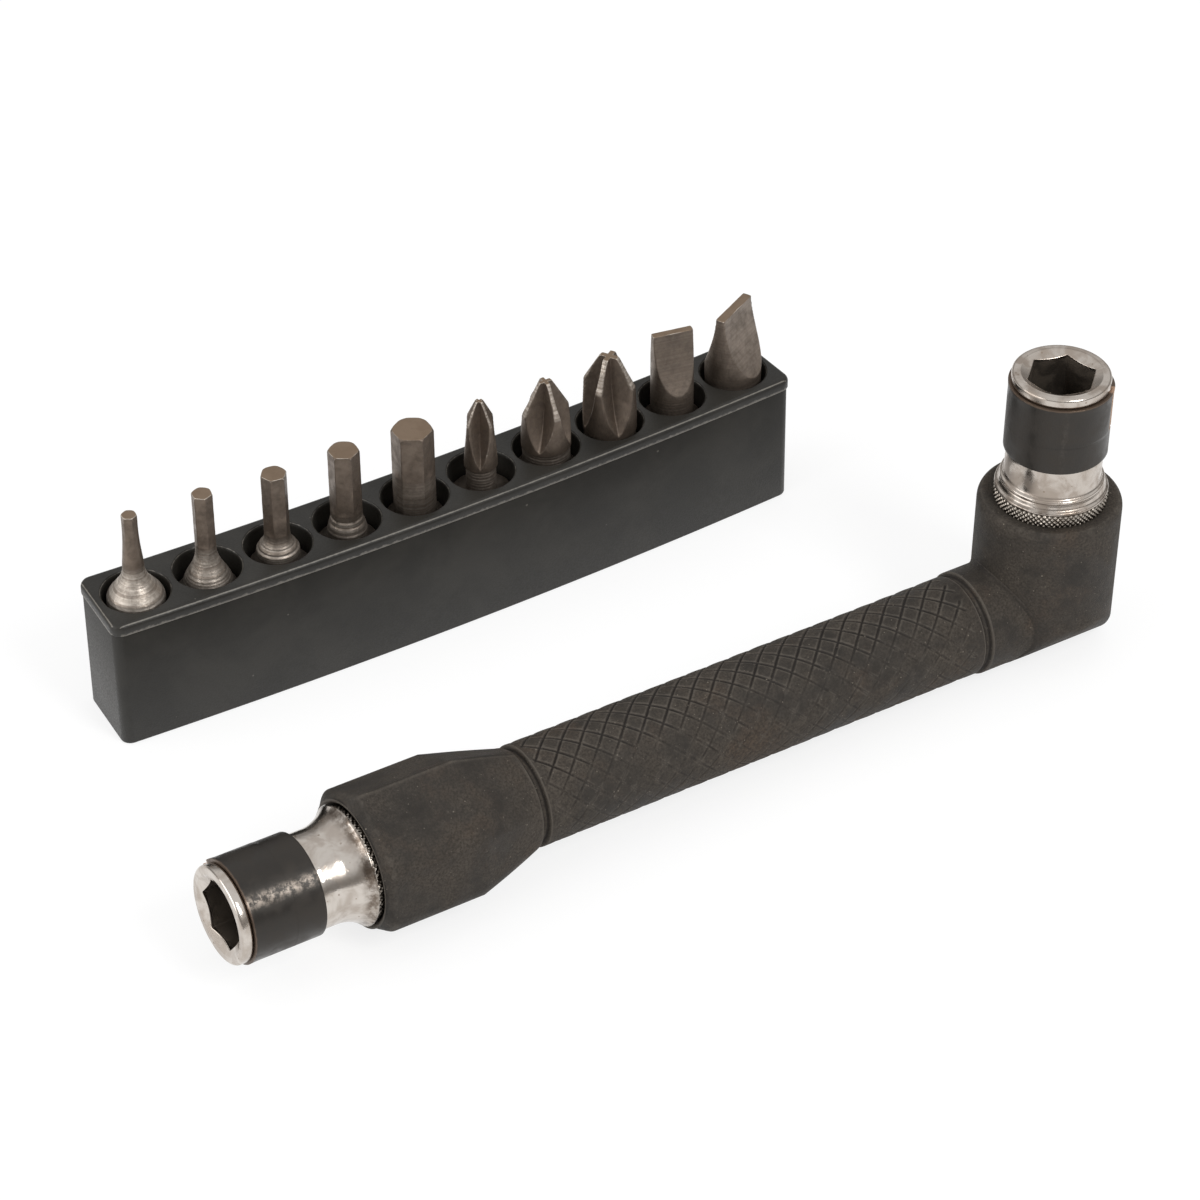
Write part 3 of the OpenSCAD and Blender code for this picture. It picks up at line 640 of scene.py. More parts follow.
# Rubbed lines along the top's rounding, the lip's lower edge and the mouths of the holes.
def markRackScuffs(body):
    c = rack
    points = np.empty(len(body.data.vertices) * 3)
    body.data.vertices.foreach_get("co", points)
    local = np.array(rackPlace().inverted())
    points = points.reshape(-1, 3) @ local[:3, :3].T + local[:3, 3]
    x, y, z = (points / mm).T
    u = np.arctan2(x, bowRadius - y) * bowRadius
    v = bowRadius - np.hypot(x, bowRadius - y)
    inset = np.minimum(c["length"] / 2 - np.abs(u), c["width"] / 2 - np.abs(v))
    upper = np.exp(-((inset - 0.2) / 0.075) ** 2) * (z > c["height"] - 0.35)
    lower = np.exp(-((z - c["height"] + c["lipHeight"] - 0.03) / 0.06) ** 2) * (inset < 0.1)
    hole = np.clip(np.round(u / c["pitch"] + (c["holes"] - 1) / 2), 0, c["holes"] - 1)
    fromHole = np.hypot(u - (hole - (c["holes"] - 1) / 2) * c["pitch"], v)
    mouth = np.exp(-((fromHole - c["holeR"] - 0.12) / 0.1) ** 2) * (z > c["height"] - 0.2) * 0.75
    storeValues(body.data, {"scuff": np.maximum(np.maximum(upper, lower), mouth)})


# Bits: each is one skin whose radius is worked out ring by ring

bitShape = {
    "apothem": 3.175, "cornerR": 3.5, "shank": 12.6, "bevel": 0.5,
    "notchAt": 7.0, "notchDepth": 0.35, "notchHalf": 0.9,
    "around": 240, "toolMark": 0.011, "closing": 5,      # rings that close each end
}


def shankRadius(theta, z):
    c = bitShape
    limit = c["cornerR"] - np.maximum(c["bevel"] - z, 0) - np.maximum(z - c["shank"] + c["bevel"], 0)
    notch = np.maximum(1 - np.abs(z - c["notchAt"]) / c["notchHalf"], 0) * c["notchDepth"]
    return smoothMin(polygonRadius(theta, c["apothem"], 6, 0.0, 0.1), limit - notch, 0.06)


# Fine turned rings.
def toolMarks(z):
    coarse = np.sin(z * 19 + 2 * np.sin(z * 2.3))
    return bitShape["toolMark"] * (coarse + 0.6 * np.sin(z * 43 + 3 * np.sin(z * 1.1)))


# Shank below, the tip given by tip(theta, z) above, and a flat end. The tip also says where it is bare.
def bitSkin(name, place, length, tip, endR):
    c = bitShape
    theta = angles(c["around"])[None, :]
    z = stations((0, 0.6, 0.1), (0.6, 6, 0.9), (6, 8, 0.15), (8, 12, 0.8), (12, c["shank"], 0.12),
                 (c["shank"], length - 0.4, 0.08), (length - 0.4, length, 0.04))[:, None]
    tipR, bare = tip(theta, z)
    r = np.where(z < c["shank"], shankRadius(theta, z), tipR)
    n = c["closing"]
    inFirst = np.linspace(0.02, 0.96, n)[:, None]
    r = np.concatenate([r[:1] * inFirst, r, r[-1:] * inFirst[::-1]])
    z = np.concatenate([np.full((n, 1), 0.0), z, np.full((n, 1), length)])
    shine = np.zeros((len(z), c["around"]))
    shine[n:-n] = bare * (z[n:-n] > c["shank"] - 0.3)
    end = (z >= length - 0.02) * np.ones_like(theta)
    along = z * np.ones_like(theta)
    piece = ringMesh(name, z, r, theta[0], place, {"bare": shine, "end": end, "along": along})
    storeCurvature(piece, endR)
    return piece


def bell(z, low, high, wide, slim):
    t = 1 - np.clip((high - z) / (high - low), 0, 1) ** 1.35
    return (wide + slim) / 2 + (wide - slim) / 2 * np.cos(math.pi * t)


hexBits = {
    "length": (24.9, 24.6, 24.1, 24.0, 23.6),
    "af": (1.5, 2.0, 2.5, 3.0, 4.0),
    "footR": (3.07, 2.69, 2.3, 2.1, 2.2),
    "stemR": (1.14, 1.06, 1.34, 1.62, 2.14),
    "flareFrom": (14.2, 12.9, 14.2, 13.9, 15.5),
    "flareTo": (18.6, 18.2, 16.7, 16.4, 18.2),
    "stemTaper": (0.09, 0.3, 0.3, 0.3, 0.35),
    "rings": ((), (), (15.0, 14.5), (15.4, 14.75, 14.0), ()),
    "bareShare": (1.0, 0.8, 0.6, 0.5, 0.25),
    "turn": (29, 22, 53, 29, 29),
}


def hexBitPiece(index):
    c = {key: values[index] for key, values in hexBits.items()}
    apothem = c["af"] / 2

    def tip(theta, z):
        six = polygonRadius(theta, apothem, 6, 0.0, 0.1) + 0.012 * ripple(z * 2.1, theta * 3 + z * 0.7)
        end = apothem * 1.03 + np.maximum(c["length"] - z, 0) * 1.1
        six = smoothMin(six, end, 0.1)
        flare = bell(z, c["flareFrom"], c["flareTo"], c["footR"], c["stemR"])
        flare = flare - np.maximum(z - c["flareTo"], 0) * c["stemTaper"]
        turned = easeStep(-z, -c["flareTo"] - 0.2, -c["flareTo"] + 1.2)
        flare = flare + toolMarks(z) * turned
        for ring in c["rings"]:
            raised = 0.03 * np.exp(-((z - ring) / 0.13) ** 2)
            flare = flare + raised - 0.06 * np.exp(-((z - ring - 0.24) / 0.07) ** 2)
        return smoothMax(six, flare, 0.15), c["bareShare"] * turned

    node = f"bit_hex_{index + 1}"
    return bitSkin(f"hexBit{index + 1}", bitPlace(index, node, c["turn"]), c["length"], tip, 0.16)


crossBits = {
    "length": (24.1, 23.5, 23.6),
    "bodyR": (1.8, 2.7, 2.93), "tipR": (0.45, 0.75, 1.05), "fluteLength": (8.0, 7.9, 9.0),
    "turn": (13, -2, 32), "coneAngle": (27.5, 28.5, 29.0), "neckR": (1.63, 2.6, 2.84),
    "rootShare": (0.38, 0.38, 0.38),
}


def crossBitPiece(index):
    c = {key: values[index] for key, values in crossBits.items()}
    neckTop = c["length"] - c["fluteLength"] - 0.25

    def tip(theta, z):
        down = c["length"] - z
        cone = c["tipR"] + down * math.tan(math.radians(c["coneAngle"]))
        body = smoothMin(cone, c["bodyR"] + 0 * z, 0.12)
        turned = easeStep(-z, -neckTop, -neckTop + 0.15)
        body = body - (c["bodyR"] - c["neckR"]) * turned - 0.05 * (0.5 + 0.5 * np.sin(z * 17)) * turned
        root = c["tipR"] * c["rootShare"]
        root = root + (c["bodyR"] - root) * (np.maximum(down, 0) / c["fluteLength"]) ** 2.8
        away = theta % (math.pi / 2) - math.pi / 4 + 0 * z
        opening = np.cos(away) - np.sqrt(np.sin(away) ** 2 + 0.0015)
        flute = root / np.maximum(opening, 0.02)
        wall = smoothMin(body, flute, 0.05)
        end = c["tipR"] * 0.92 + np.maximum(down, 0) * 1.4
        onCone = easeStep(flute - body, -0.02, 0.12) * easeStep(c["bodyR"] - cone, -0.15, 0.1)
        return smoothMin(wall, end, 0.1), np.maximum(0.8 * onCone, 0.3 * turned)

    place = bitPlace(5 + index, f"bit_cross_{index + 1}", c["turn"])
    return bitSkin(f"crossBit{index + 1}", place, c["length"], tip, 0.2)


slotBits = {
    "length": (23.5, 23.4),
    "bladeR": (2.3, 3.0), "thickness": (0.8, 1.0), "facet": (7.1, 7.9), "turn": (76, -66),
    "footR": (2.35, 3.1), "swell": (0.03, 0.1),
}


def slotBitPiece(index):
    c = {key: values[index] for key, values in slotBits.items()}

    def tip(theta, z):
        down = c["length"] - z
        body = c["bladeR"] + (c["footR"] - c["bladeR"]) * np.clip(down / 10, 0, 1)
        body = body + c["swell"] * np.sin(down * 0.35)
        turned = easeStep(down, c["facet"] - 1, c["facet"] + 1)
        body = body + toolMarks(z) * turned
        half = c["thickness"] / 2
        facet = half + (c["footR"] - half) * (np.maximum(down, 0) / c["facet"]) ** 1.75
        flat = facet / np.maximum(np.abs(np.cos(theta)), 0.02)
        ground = easeStep(body - flat, -0.05, 0.05)
        end = c["bladeR"] + down * 2
        return smoothMin(smoothMin(body, flat, 0.05), end, 0.05), 0.12 * ground + 0.1 * (1 - ground)

    place = bitPlace(8 + index, f"bit_slot_{index + 1}", c["turn"])
    return bitSkin(f"slotBit{index + 1}", place, c["length"], tip, 0.2)


# Shader groups, each built once and placed in the materials with their own values

def newGroup(name, inputs, outputs):
    group = bpy.data.node_groups.new(name, "ShaderNodeTree")
    for label, kind, default in inputs:
        made = group.interface.new_socket(name=label, in_out="INPUT", socket_type=kind)
        if default is not None:
            made.default_value = default
    for label, kind in outputs:
        group.interface.new_socket(name=label, in_out="OUTPUT", socket_type=kind)
    return group, group.nodes.new("NodeGroupInput"), group.nodes.new("NodeGroupOutput")


# Sets a number or colour on a socket, and links anything else to it.
def feed(tree, value, target):
    if isinstance(value, (int, float)):
        target.default_value = value
    elif isinstance(value, tuple):
        target.default_value = (*value, 1.0)
    else:
        tree.links.new(value, target)


def mathNode(tree, operation, a, b=None, clamp=False):
    made = tree.nodes.new("ShaderNodeMath")
    made.operation = operation
    made.use_clamp = clamp
    feed(tree, a, made.inputs[0])
    if b is not None:
        feed(tree, b, made.inputs[1])
    return made.outputs[0]


def mapNode(tree, value, fromLow, fromHigh, toLow=0.0, toHigh=1.0):
    made = tree.nodes.new("ShaderNodeMapRange")
    made.interpolation_type = "SMOOTHSTEP"
    given = {"Value": value, "From Min": fromLow, "From Max": fromHigh, "To Min": toLow, "To Max": toHigh}
    for label, number in given.items():
        feed(tree, number, made.inputs[label])
    return made.outputs["Result"]


def noiseNode(tree, vector, scale, detail=2.0, roughness=0.5, distortion=0.0):
    made = tree.nodes.new("ShaderNodeTexNoise")
    given = {"Vector": vector, "Scale": scale, "Detail": detail, "Roughness": roughness,
             "Distortion": distortion}
    for label, value in given.items():
        feed(tree, value, made.inputs[label])
    return made.outputs[0]


def mixNode(tree, factor, a, b):
    made = tree.nodes.new("ShaderNodeMix")
    made.data_type = "RGBA"
    for socketIndex, value in ((0, factor), (6, a), (7, b)):
        feed(tree, value, made.inputs[socketIndex])
    return made.outputs[2]


# Lays colours over one another: each layer is (mask, share, colour).
def layered(tree, colour, *layers):
    for mask, share, over in layers:
        colour = mixNode(tree, mathNode(tree, "MULTIPLY", mask, share), colour, over)
    return colour


# Adds shares of masks to a value.
def summed(tree, value, *parts):
    for mask, share in parts:
        value = mathNode(tree, "ADD", value, mathNode(tree, "MULTIPLY", mask, share))
    return value


# Soft patches and fine grain, from the piece's own coordinates.
def buildPatchGroup():
    group, given, result = newGroup(
        "patchesAndGrain",
        [("Vector", "NodeSocketVector", None), ("Patch Scale", "NodeSocketFloat", 300.0),
         ("Grain Scale", "NodeSocketFloat", 6000.0)],
        [("Patches", "NodeSocketFloat"), ("Grain", "NodeSocketFloat")])
    patches = noiseNode(group, given.outputs["Vector"], given.outputs["Patch Scale"], 3.0, 0.6, 0.4)
    grain = noiseNode(group, given.outputs["Vector"], given.outputs["Grain Scale"], 2.0, 0.6)
    group.links.new(mapNode(group, patches, 0.32, 0.68), result.inputs["Patches"])
    group.links.new(mapNode(group, grain, 0.25, 0.75), result.inputs["Grain"])
    return group


# Small scattered specks of dust: a few cells of a cell pattern hold one each.
def buildSpeckGroup():
    group, given, result = newGroup(
        "dustSpecks",
        [("Vector", "NodeSocketVector", None), ("Scale", "NodeSocketFloat", 1500.0),
         ("Size", "NodeSocketFloat", 0.16), ("Share", "NodeSocketFloat", 0.2)],
        [("Mask", "NodeSocketFloat")])
    cells = group.nodes.new("ShaderNodeTexVoronoi")
    group.links.new(given.outputs["Vector"], cells.inputs["Vector"])
    group.links.new(given.outputs["Scale"], cells.inputs["Scale"])
    split = group.nodes.new("ShaderNodeSeparateColor")
    group.links.new(cells.outputs["Color"], split.inputs[0])
    chosen = mathNode(group, "LESS_THAN", split.outputs[0], given.outputs["Share"])
    sized = mathNode(group, "MULTIPLY", split.outputs[1], given.outputs["Size"])
    inside = mathNode(group, "SUBTRACT", sized, cells.outputs["Distance"])
    spot = mapNode(group, inside, 0.0, 0.05)
    group.links.new(mathNode(group, "MULTIPLY", spot, chosen), result.inputs["Mask"])
    return group


# Rubbed edges: where the surface turns sharply, broken up by noise.
def buildWearGroup():
    group, given, result = newGroup(
        "edgeWear",
        [("Vector", "NodeSocketVector", None), ("Scale", "NodeSocketFloat", 1200.0),
         ("Edge", "NodeSocketFloat", 0.0), ("Low", "NodeSocketFloat", 0.35),
         ("High", "NodeSocketFloat", 0.75)],
        [("Mask", "NodeSocketFloat")])
    noise = noiseNode(group, given.outputs["Vector"], given.outputs["Scale"], 4.0, 0.65)
    broken = mathNode(group, "MULTIPLY", mathNode(group, "SUBTRACT", noise, 0.5), 0.9)
    total = mathNode(group, "ADD", given.outputs["Edge"], broken)
    gated = mathNode(group, "MULTIPLY", total, mapNode(group, given.outputs["Edge"], 0.02, 0.15))
    mask = mapNode(group, gated, given.outputs["Low"], given.outputs["High"])
    group.links.new(mask, result.inputs["Mask"])
    return group


patchGroup = buildPatchGroup()
speckGroup = buildSpeckGroup()
wearGroup = buildWearGroup()


def placeGroup(tree, group, vector, values):
    made = tree.nodes.new("ShaderNodeGroup")
    made.node_tree = group
    tree.links.new(vector, made.inputs["Vector"])
    for label, value in values.items():
        feed(tree, value, made.inputs[label])
    return made.outputs


def patches(tree, place, scale, grain):
    return placeGroup(tree, patchGroup, place, {"Patch Scale": scale, "Grain Scale": grain})


def specks(tree, place, scale, size, share):
    return placeGroup(tree, speckGroup, place, {"Scale": scale, "Size": size, "Share": share})["Mask"]


def rubbed(tree, place, scale, label, low, high):
    edge = attributeNode(tree, label)
    values = {"Scale": scale, "Edge": edge, "Low": low, "High": high}
    return placeGroup(tree, wearGroup, place, values)["Mask"]


def startMaterial(name, metallic, roughness, specular=0.5):
    material = bpy.data.materials.new(name)
    material.use_nodes = True
    tree = material.node_tree
    shader = tree.nodes["Principled BSDF"]
    shader.inputs["Metallic"].default_value = metallic
    shader.inputs["Roughness"].default_value = roughness
    shader.inputs["Specular IOR Level"].default_value = specular
    place = tree.nodes.new("ShaderNodeTexCoord").outputs["Object"]
    return material, tree, shader, place


def attributeNode(tree, name):
    made = tree.nodes.new("ShaderNodeAttribute")
    made.attribute_name = name
    return made.outputs["Fac"]


def addBump(tree, shader, height, distance):
    bump = tree.nodes.new("ShaderNodeBump")
    bump.inputs["Distance"].default_value = distance * mm
    bump.inputs["Strength"].default_value = 1.0
    tree.links.new(height, bump.inputs["Height"])
    tree.links.new(bump.outputs["Normal"], shader.inputs["Normal"])


# line is the colour of painted shade, in grooves, creases and hollows
rubberLook = {
    "dark": (0.0212, 0.0174, 0.0136), "light": (0.080, 0.0665, 0.0532), "rust": (0.090, 0.061, 0.041),
    "line": (0.012, 0.0095, 0.0075), "dust": (0.30, 0.26, 0.21), "edge": (0.115, 0.099, 0.082),
    "rough": (0.62, 0.82), "grain": 0.03,
}


def rubberMaterial():
    c = rubberLook
    material, tree, shader, place = startMaterial("gripRubber", 0.0, 0.72, 0.32)
    broad = patches(tree, place, 150.0, 4200.0)
    small = patches(tree, place, 650.0, 9000.0)
    dust = specks(tree, place, 1900.0, 0.2, 0.16)
    fineDust = specks(tree, place, 3600.0, 0.3, 0.14)
    rust = mapNode(tree, noiseNode(tree, place, 110.0, 4.0, 0.7), 0.5, 0.72)
    # hollows darkened with the line colour: painted shade
    hollow = mapNode(tree, attributeNode(tree, "cavity"), 0.1, 0.7)
    colour = mixNode(tree, broad["Patches"], c["dark"], c["light"])
    colour = layered(
        tree, colour, (small["Patches"], 0.45, c["light"]), (rust, 0.6, c["rust"]),
        (broad["Grain"], 0.8, c["dark"]), (rubbed(tree, place, 900.0, "edge", 0.1, 0.6), 0.6, c["edge"]),
        (attributeNode(tree, "line"), 0.75, c["line"]), (hollow, 0.75, c["line"]),
        (attributeNode(tree, "scuff"), 0.6, c["edge"]), (dust, 0.55, c["dust"]), (fineDust, 0.3, c["dust"]))
    tree.links.new(colour, shader.inputs["Base Color"])
    tree.links.new(mapNode(tree, broad["Patches"], 0.0, 1.0, *c["rough"]), shader.inputs["Roughness"])
    addBump(tree, shader, summed(tree, small["Grain"], (dust, 1.5)), c["grain"])
    return material


# bore is a dark colour for painted shade inside the bore
chromeLook = {"clean": (0.62, 0.572, 0.522), "tarnish": (0.25, 0.185, 0.135), "grime": (0.03, 0.022, 0.017),
              "bore": (0.15, 0.125, 0.10), "lip": (0.11, 0.078, 0.055)}


def chromeMaterial(name, plate):
    c = chromeLook
    material, tree, shader, place = startMaterial(name, 1.0, 0.12)
    broad = patches(tree, place, 420.0, 7000.0)
    pits = specks(tree, place, 2400.0, 0.35, 0.16)
    hollow = mapNode(tree, attributeNode(tree, "cavity"), 0.15, 0.8)
    brown = mapNode(tree, noiseNode(tree, place, 800.0, 5.0, 0.7), 0.4, 0.62, 0.15, 0.9)
    # the rim next to the rubber is browned: partly tarnish, partly painted shade and painted dark reflection
    grimeAndShade = mathNode(tree, "MULTIPLY", attributeNode(tree, "lip"), brown)
    # inside the bore the colour is darkened: painted shade in the recess
    inBore = attributeNode(tree, "bore")
    tarnish = mapNode(tree, broad["Patches"], 0.0, 1.0, *plate["tarnished"])
    colour = layered(
        tree, mixNode(tree, tarnish, c["clean"], c["tarnish"]), (hollow, 0.8, c["grime"]),
        (pits, 0.5, c["tarnish"]), (grimeAndShade, plate["lipGrimeAndShade"], c["lip"]), (inBore, 0.9, c["bore"]))
    tree.links.new(colour, shader.inputs["Base Color"])
    rough = mapNode(tree, broad["Patches"], 0.0, 1.0, *plate["rough"])
    rough = summed(tree, rough, (inBore, 0.3), (hollow, 0.3), (pits, 0.2))
    tree.links.new(rough, shader.inputs["Roughness"])
    addBump(tree, shader, summed(tree, broad["Grain"], (pits, -1.0)), 0.0022)
    return material


knurlLook = {"clean": (0.50, 0.455, 0.40), "tarnish": (0.20, 0.155, 0.115), "grime": (0.05, 0.038, 0.028),
             "deep": (0.035, 0.027, 0.02)}


def knurlMaterial(name, crestGlintColour):
    c = knurlLook
    material, tree, shader, place = startMaterial(name, 1.0, 0.3)
    broad = patches(tree, place, 900.0, 9000.0)
    hollow = mapNode(tree, attributeNode(tree, "cavity"), 0.02, 0.3)
    # crests lightened towards a bright colour: painted highlight, glints on the teeth
    crestGlint = mapNode(tree, attributeNode(tree, "edge"), 0.1, 0.6)
    colour = layered(
        tree, c["clean"], (broad["Patches"], 0.5, c["tarnish"]), (hollow, 0.85, c["grime"]),
        (crestGlint, 0.8, crestGlintColour), (attributeNode(tree, "deep"), 0.85, c["deep"]))
    tree.links.new(colour, shader.inputs["Base Color"])
    addBump(tree, shader, broad["Grain"], 0.004)
    return material


clipLook = {"black": (0.034, 0.030, 0.026), "soft": (0.055, 0.045, 0.036), "worn": (0.17, 0.115, 0.08),
            "scuff": (0.33, 0.28, 0.235), "cut": (0.50, 0.34, 0.24)}


def clipMaterial(name, marks):
    c = clipLook
    material, tree, shader, place = startMaterial(name, 0.55, 0.4, 0.5)
    broad = patches(tree, place, 380.0, 8000.0)
    worn = rubbed(tree, place, 1600.0, "brow", 0.3, 0.8)
    # the light streak is partly rubbed paint and partly a painted highlight
    offset = mathNode(tree, "SUBTRACT", attributeNode(tree, "turn"), marks["scuffAndHighlightTurn"])
    band = mapNode(tree, mathNode(tree, "ABSOLUTE", offset), marks["scuffAndHighlightWidth"], 0.0)
    ragged = mapNode(tree, noiseNode(tree, place, 1500.0, 5.0, 0.7), 0.42, 0.62)
    scuff = mathNode(tree, "MULTIPLY", band, ragged)
    colour = layered(tree, c["black"], (broad["Patches"], 0.35, c["soft"]),
                     (scuff, marks["scuffAndHighlightShare"], c["scuff"]), (worn, 0.55, c["worn"]))
    colour = mixNode(tree, attributeNode(tree, "cut"), colour, c["cut"])
    tree.links.new(colour, shader.inputs["Base Color"])
    tree.links.new(mapNode(tree, broad["Patches"], 0.0, 1.0, 0.32, 0.5), shader.inputs["Roughness"])
    addBump(tree, shader, broad["Grain"], 0.004)
    return material


rackLook = {"black": (0.020, 0.0186, 0.016), "soft": (0.030, 0.0278, 0.0238),
            "scuff": (0.25, 0.23, 0.20)}


def rackMaterial():
    c = rackLook
    material, tree, shader, place = startMaterial("rackPlastic", 0.0, 0.42, 0.32)
    broad = patches(tree, place, 120.0, 5200.0)
    dust = specks(tree, place, 900.0, 0.16, 0.1)
    worn = rubbed(tree, place, 1500.0, "scuff", 0.5, 0.85)
    colour = mixNode(tree, broad["Patches"], c["black"], c["soft"])
    colour = layered(tree, colour, (worn, 0.7, c["scuff"]), (dust, 0.3, c["scuff"]))
    tree.links.new(colour, shader.inputs["Base Color"])
    tree.links.new(mapNode(tree, broad["Grain"], 0.0, 1.0, 0.36, 0.5), shader.inputs["Roughness"])
    addBump(tree, shader, broad["Grain"], 0.006)
    return material


bitLook = {
    "brown": (0.168, 0.132, 0.104), "dark": (0.078, 0.061, 0.048), "bare": (0.60, 0.54, 0.475),
    "copper": (0.27, 0.19, 0.125), "edge": (0.62, 0.56, 0.49), "warm": (0.23, 0.175, 0.135),
}


def bitMaterial():
    c = bitLook
    material, tree, shader, place = startMaterial("phosphatedSteel", 0.72, 0.42, 0.5)
    broad = patches(tree, place, 520.0, 5200.0)
    fine = patches(tree, place, 1900.0, 9000.0)
    worn = rubbed(tree, place, 1700.0, "edge", 0.5, 0.95)
    rings = tree.nodes.new("ShaderNodeTexNoise")
    rings.noise_dimensions = "1D"
    tree.links.new(attributeNode(tree, "along"), rings.inputs["W"])
    rings.inputs["Scale"].default_value = 3.5
    rings.inputs["Detail"].default_value = 4.0
    ringed = mapNode(tree, rings.outputs[0], 0.35, 0.65, 0.35, 1.0)
    uneven = mapNode(tree, fine["Patches"], 0.0, 1.0, 0.6, 1.0)
    shine = mathNode(tree, "MULTIPLY", attributeNode(tree, "bare"), uneven)
    shine = mathNode(tree, "MULTIPLY", shine, ringed)
    colour = layered(tree, c["brown"], (broad["Patches"], 0.6, c["dark"]), (fine["Patches"], 0.3, c["warm"]))
    colour = mixNode(tree, shine, colour, c["bare"])
    colour = layered(tree, colour, (attributeNode(tree, "end"), 0.7, c["copper"]), (worn, 0.7, c["edge"]))
    tree.links.new(colour, shader.inputs["Base Color"])
    tree.links.new(mapNode(tree, broad["Patches"], 0.0, 1.0, 0.34, 0.52), shader.inputs["Roughness"])
    addBump(tree, shader, mathNode(tree, "ADD", fine["Grain"], fine["Patches"]), 0.008)
    return material


steelLook = {"bright": (0.56, 0.55, 0.53), "dull": (0.44, 0.42, 0.40)}


def steelMaterial():
    material, tree, shader, place = startMaterial("brightSteel", 1.0, 0.22)
    broad = patches(tree, place, 800.0, 6000.0)
    colour = mixNode(tree, broad["Patches"], steelLook["bright"], steelLook["dull"])
    tree.links.new(colour, shader.inputs["Base Color"])
    addBump(tree, shader, broad["Grain"], 0.002)
    return material


def dress(piece, material, body, node):
    piece.data.materials.clear()
    piece.data.materials.append(material)
    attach(piece, body)
    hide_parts(node)


rubber = rubberMaterial()
bitSteel = bitMaterial()
brightSteel = steelMaterial()
print("materials ready")

for skin in (handleSkin(), elbowSkin()):
    storeCurvature(skin, 0.4)
    dress(skin, rubber, "driver", "handle_cover")
print("rubber cover ready")

dress(endSocketPiece(), chromeMaterial("endSocketPlate", endSocket), "driver", "end_socket")
dress(headSocketPiece(), chromeMaterial("headSocketPlate", headSocket), "driver", "head_socket")
for end, place in (("end", alongHandle()), ("head", driverPlace())):
    band = knurlBand(f"{end}Knurl", place)
    plate = knurlMaterial(f"{end}KnurlChrome", knurlBands[f"{end}Knurl"]["crestGlint"])
    dress(band, plate, "driver", f"{end}_socket")
for end, top, place in (("end", driver["reach"], alongHandle()), ("head", driver["headRise"], driverPlace())):
    marks = clipMarks[f"{end}Clip"]
    spring = clipPiece(f"{end}ClipSpring", top, marks["gapTurn"], place)
    dress(spring, clipMaterial(f"{end}ClipBlack", marks), "driver", f"{end}_clip")
print("sockets and clips ready")

rackBody = rackPiece()
markRackScuffs(rackBody)
dress(rackBody, rackMaterial(), "rack", "bit_rack")
for kind, build, count in (("hex", hexBitPiece, 5), ("cross", crossBitPiece, 3), ("slot", slotBitPiece, 2)):
    for index in range(count):
        node = f"bit_{kind}_{index + 1}"
        dress(build(index), bitSteel, f"{node}_body", node)
for node in ("core_bar", "end_ball", "head_ball"):
    piece = frame["nodes"][node]
    piece.data.materials.clear()
    piece.data.materials.append(brightSteel)
print("rack and bits ready")


# Stage, light and camera

studio = {
    "sky": 0.78, "horizon": (0.06, 0.046, 0.035), "mirrored": 0.25,
    "floor": 0.86, "floorHalf": 1.5, "floorDrop": 2e-5, "glow": 0.7, "glowStrength": 1.12,
    "lamps": {                           # place, size and power
        "keyLight": ((0.1, -0.5, 0.48), (0.2, 0.28), 1.9),
        "fillLight": ((-0.62, 0.08, 0.24), (0.6, 0.4), 1.7),
    },
}


# A lamp that looks at the middle of the set.
def softBox(name, place, size, power):
    light = bpy.data.lights.new(name, "AREA")
    light.shape = "RECTANGLE"
    light.size, light.size_y = size
    light.energy = power
    lamp = linked(name, light)
    lamp.location = place
    lamp.rotation_euler = (-Vector(place)).to_track_quat("-Z", "Y").to_euler()


# The share of the rays that see the white background: the camera's, and so many of the mirrored ones.
def whiteShare(tree, share):
    path = tree.nodes.new("ShaderNodeLightPath").outputs
    mirrored = mathNode(tree, "ADD", path["Is Glossy Ray"], path["Is Transmission Ray"])
    mirrored = mathNode(tree, "MULTIPLY", mirrored, share)
    return mathNode(tree, "ADD", path["Is Camera Ray"], mirrored, True)


def buildWorld():
    world = bpy.data.worlds.new("softStudio")
    bpy.context.scene.world = world
    world.use_nodes = True
    tree = world.node_tree
    background = tree.nodes["Background"]
    direction = tree.nodes.new("ShaderNodeTexCoord").outputs["Generated"]
    split = tree.nodes.new("ShaderNodeSeparateXYZ")
    tree.links.new(direction, split.inputs[0])
    height = mapNode(tree, split.outputs["Z"], 0.18, 0.64)
    sky = studio["sky"]
    colour = mixNode(tree, height, studio["horizon"], (sky, sky, sky))
    colour = mixNode(tree, whiteShare(tree, studio["mirrored"]), colour, (1.0, 1.0, 1.0))
    tree.links.new(colour, background.inputs["Color"])
    background.inputs["Strength"].default_value = 1.0


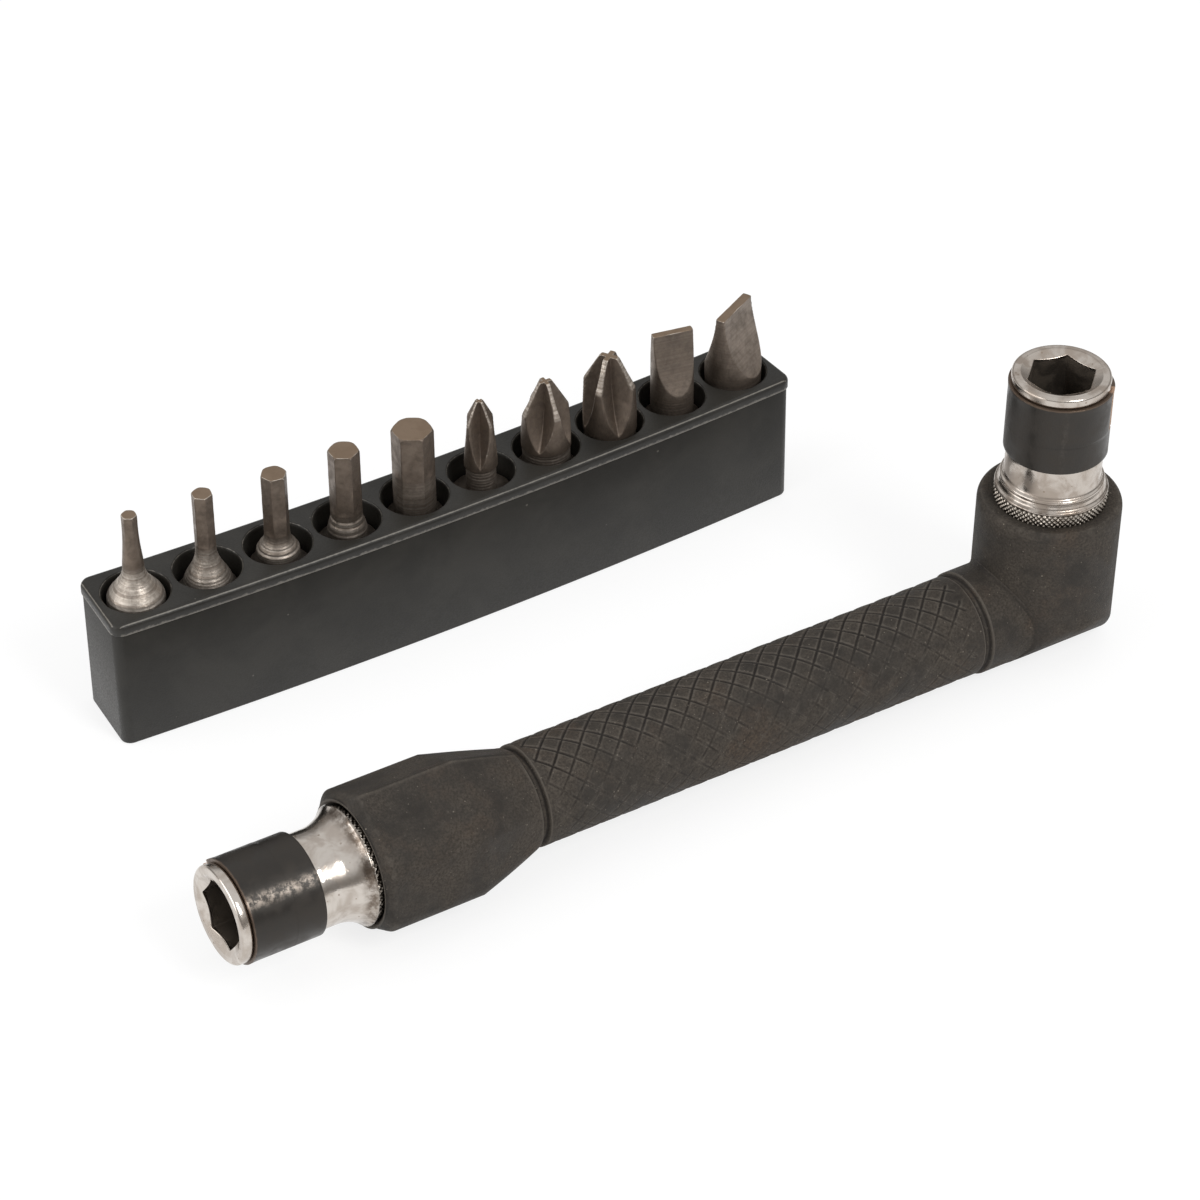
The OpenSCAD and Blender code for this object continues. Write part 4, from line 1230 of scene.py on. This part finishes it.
def buildFloor():
    mesh = bpy.data.meshes.new("paleFloor")
    half, z = studio["floorHalf"], -studio["floorDrop"]
    corners = [(-half, -half, z), (half, -half, z), (half, half, z), (-half, half, z)]
    mesh.from_pydata(corners, [], [(0, 1, 2, 3)])
    floor = linked("paleFloor", mesh)
    material = bpy.data.materials.new("paleFloor")
    material.use_nodes = True
    shader = material.node_tree.nodes["Principled BSDF"]
    shader.inputs["Base Color"].default_value = (studio["floor"],) * 3 + (1.0,)
    shader.inputs["Roughness"].default_value = 0.9
    shader.inputs["Specular IOR Level"].default_value = 0.1
    tree = material.node_tree
    glow = tree.nodes.new("ShaderNodeEmission")
    both = tree.nodes.new("ShaderNodeMixShader")
    seen = mathNode(tree, "MULTIPLY", whiteShare(tree, 1.0), studio["glow"])
    tree.links.new(seen, both.inputs[0])
    tree.links.new(shader.outputs[0], both.inputs[1])
    tree.links.new(glow.outputs[0], both.inputs[2])
    glow.inputs["Strength"].default_value = studio["glowStrength"]
    tree.links.new(both.outputs[0], tree.nodes["Material Output"].inputs["Surface"])
    mesh.materials.append(material)


view = {"azimuth": -32.33, "elevation": 38.513, "roll": -0.529, "distance": 489.32, "lens": 135.56,
        "sensor": 36.0, "target": (9.873, 11.302, 0.0)}


def buildCamera():
    azimuth, elevation, roll = (math.radians(view[k]) for k in ("azimuth", "elevation", "roll"))
    level = math.cos(elevation)
    forward = Vector((-math.sin(azimuth) * level, math.cos(azimuth) * level, -math.sin(elevation)))
    right = forward.cross(Vector((0, 0, 1))).normalized()
    up = right.cross(forward)
    across = right * math.cos(roll) + up * math.sin(roll)
    upward = up * math.cos(roll) - right * math.sin(roll)
    camera = linked("photoView", bpy.data.cameras.new("photoView"))
    camera.data.sensor_width = view["sensor"]
    camera.data.lens = view["lens"]
    camera.data.clip_start = 0.01
    camera.matrix_world = axesPlace(
        (across, upward, -forward), (Vector(view["target"]) - forward * view["distance"]) * mm)
    bpy.context.scene.camera = camera


buildWorld()
buildFloor()
for name, (place, size, power) in studio["lamps"].items():
    softBox(name, place, size, power)
buildCamera()
bpy.context.scene.view_settings.view_transform = "Standard"

print("scene ready")
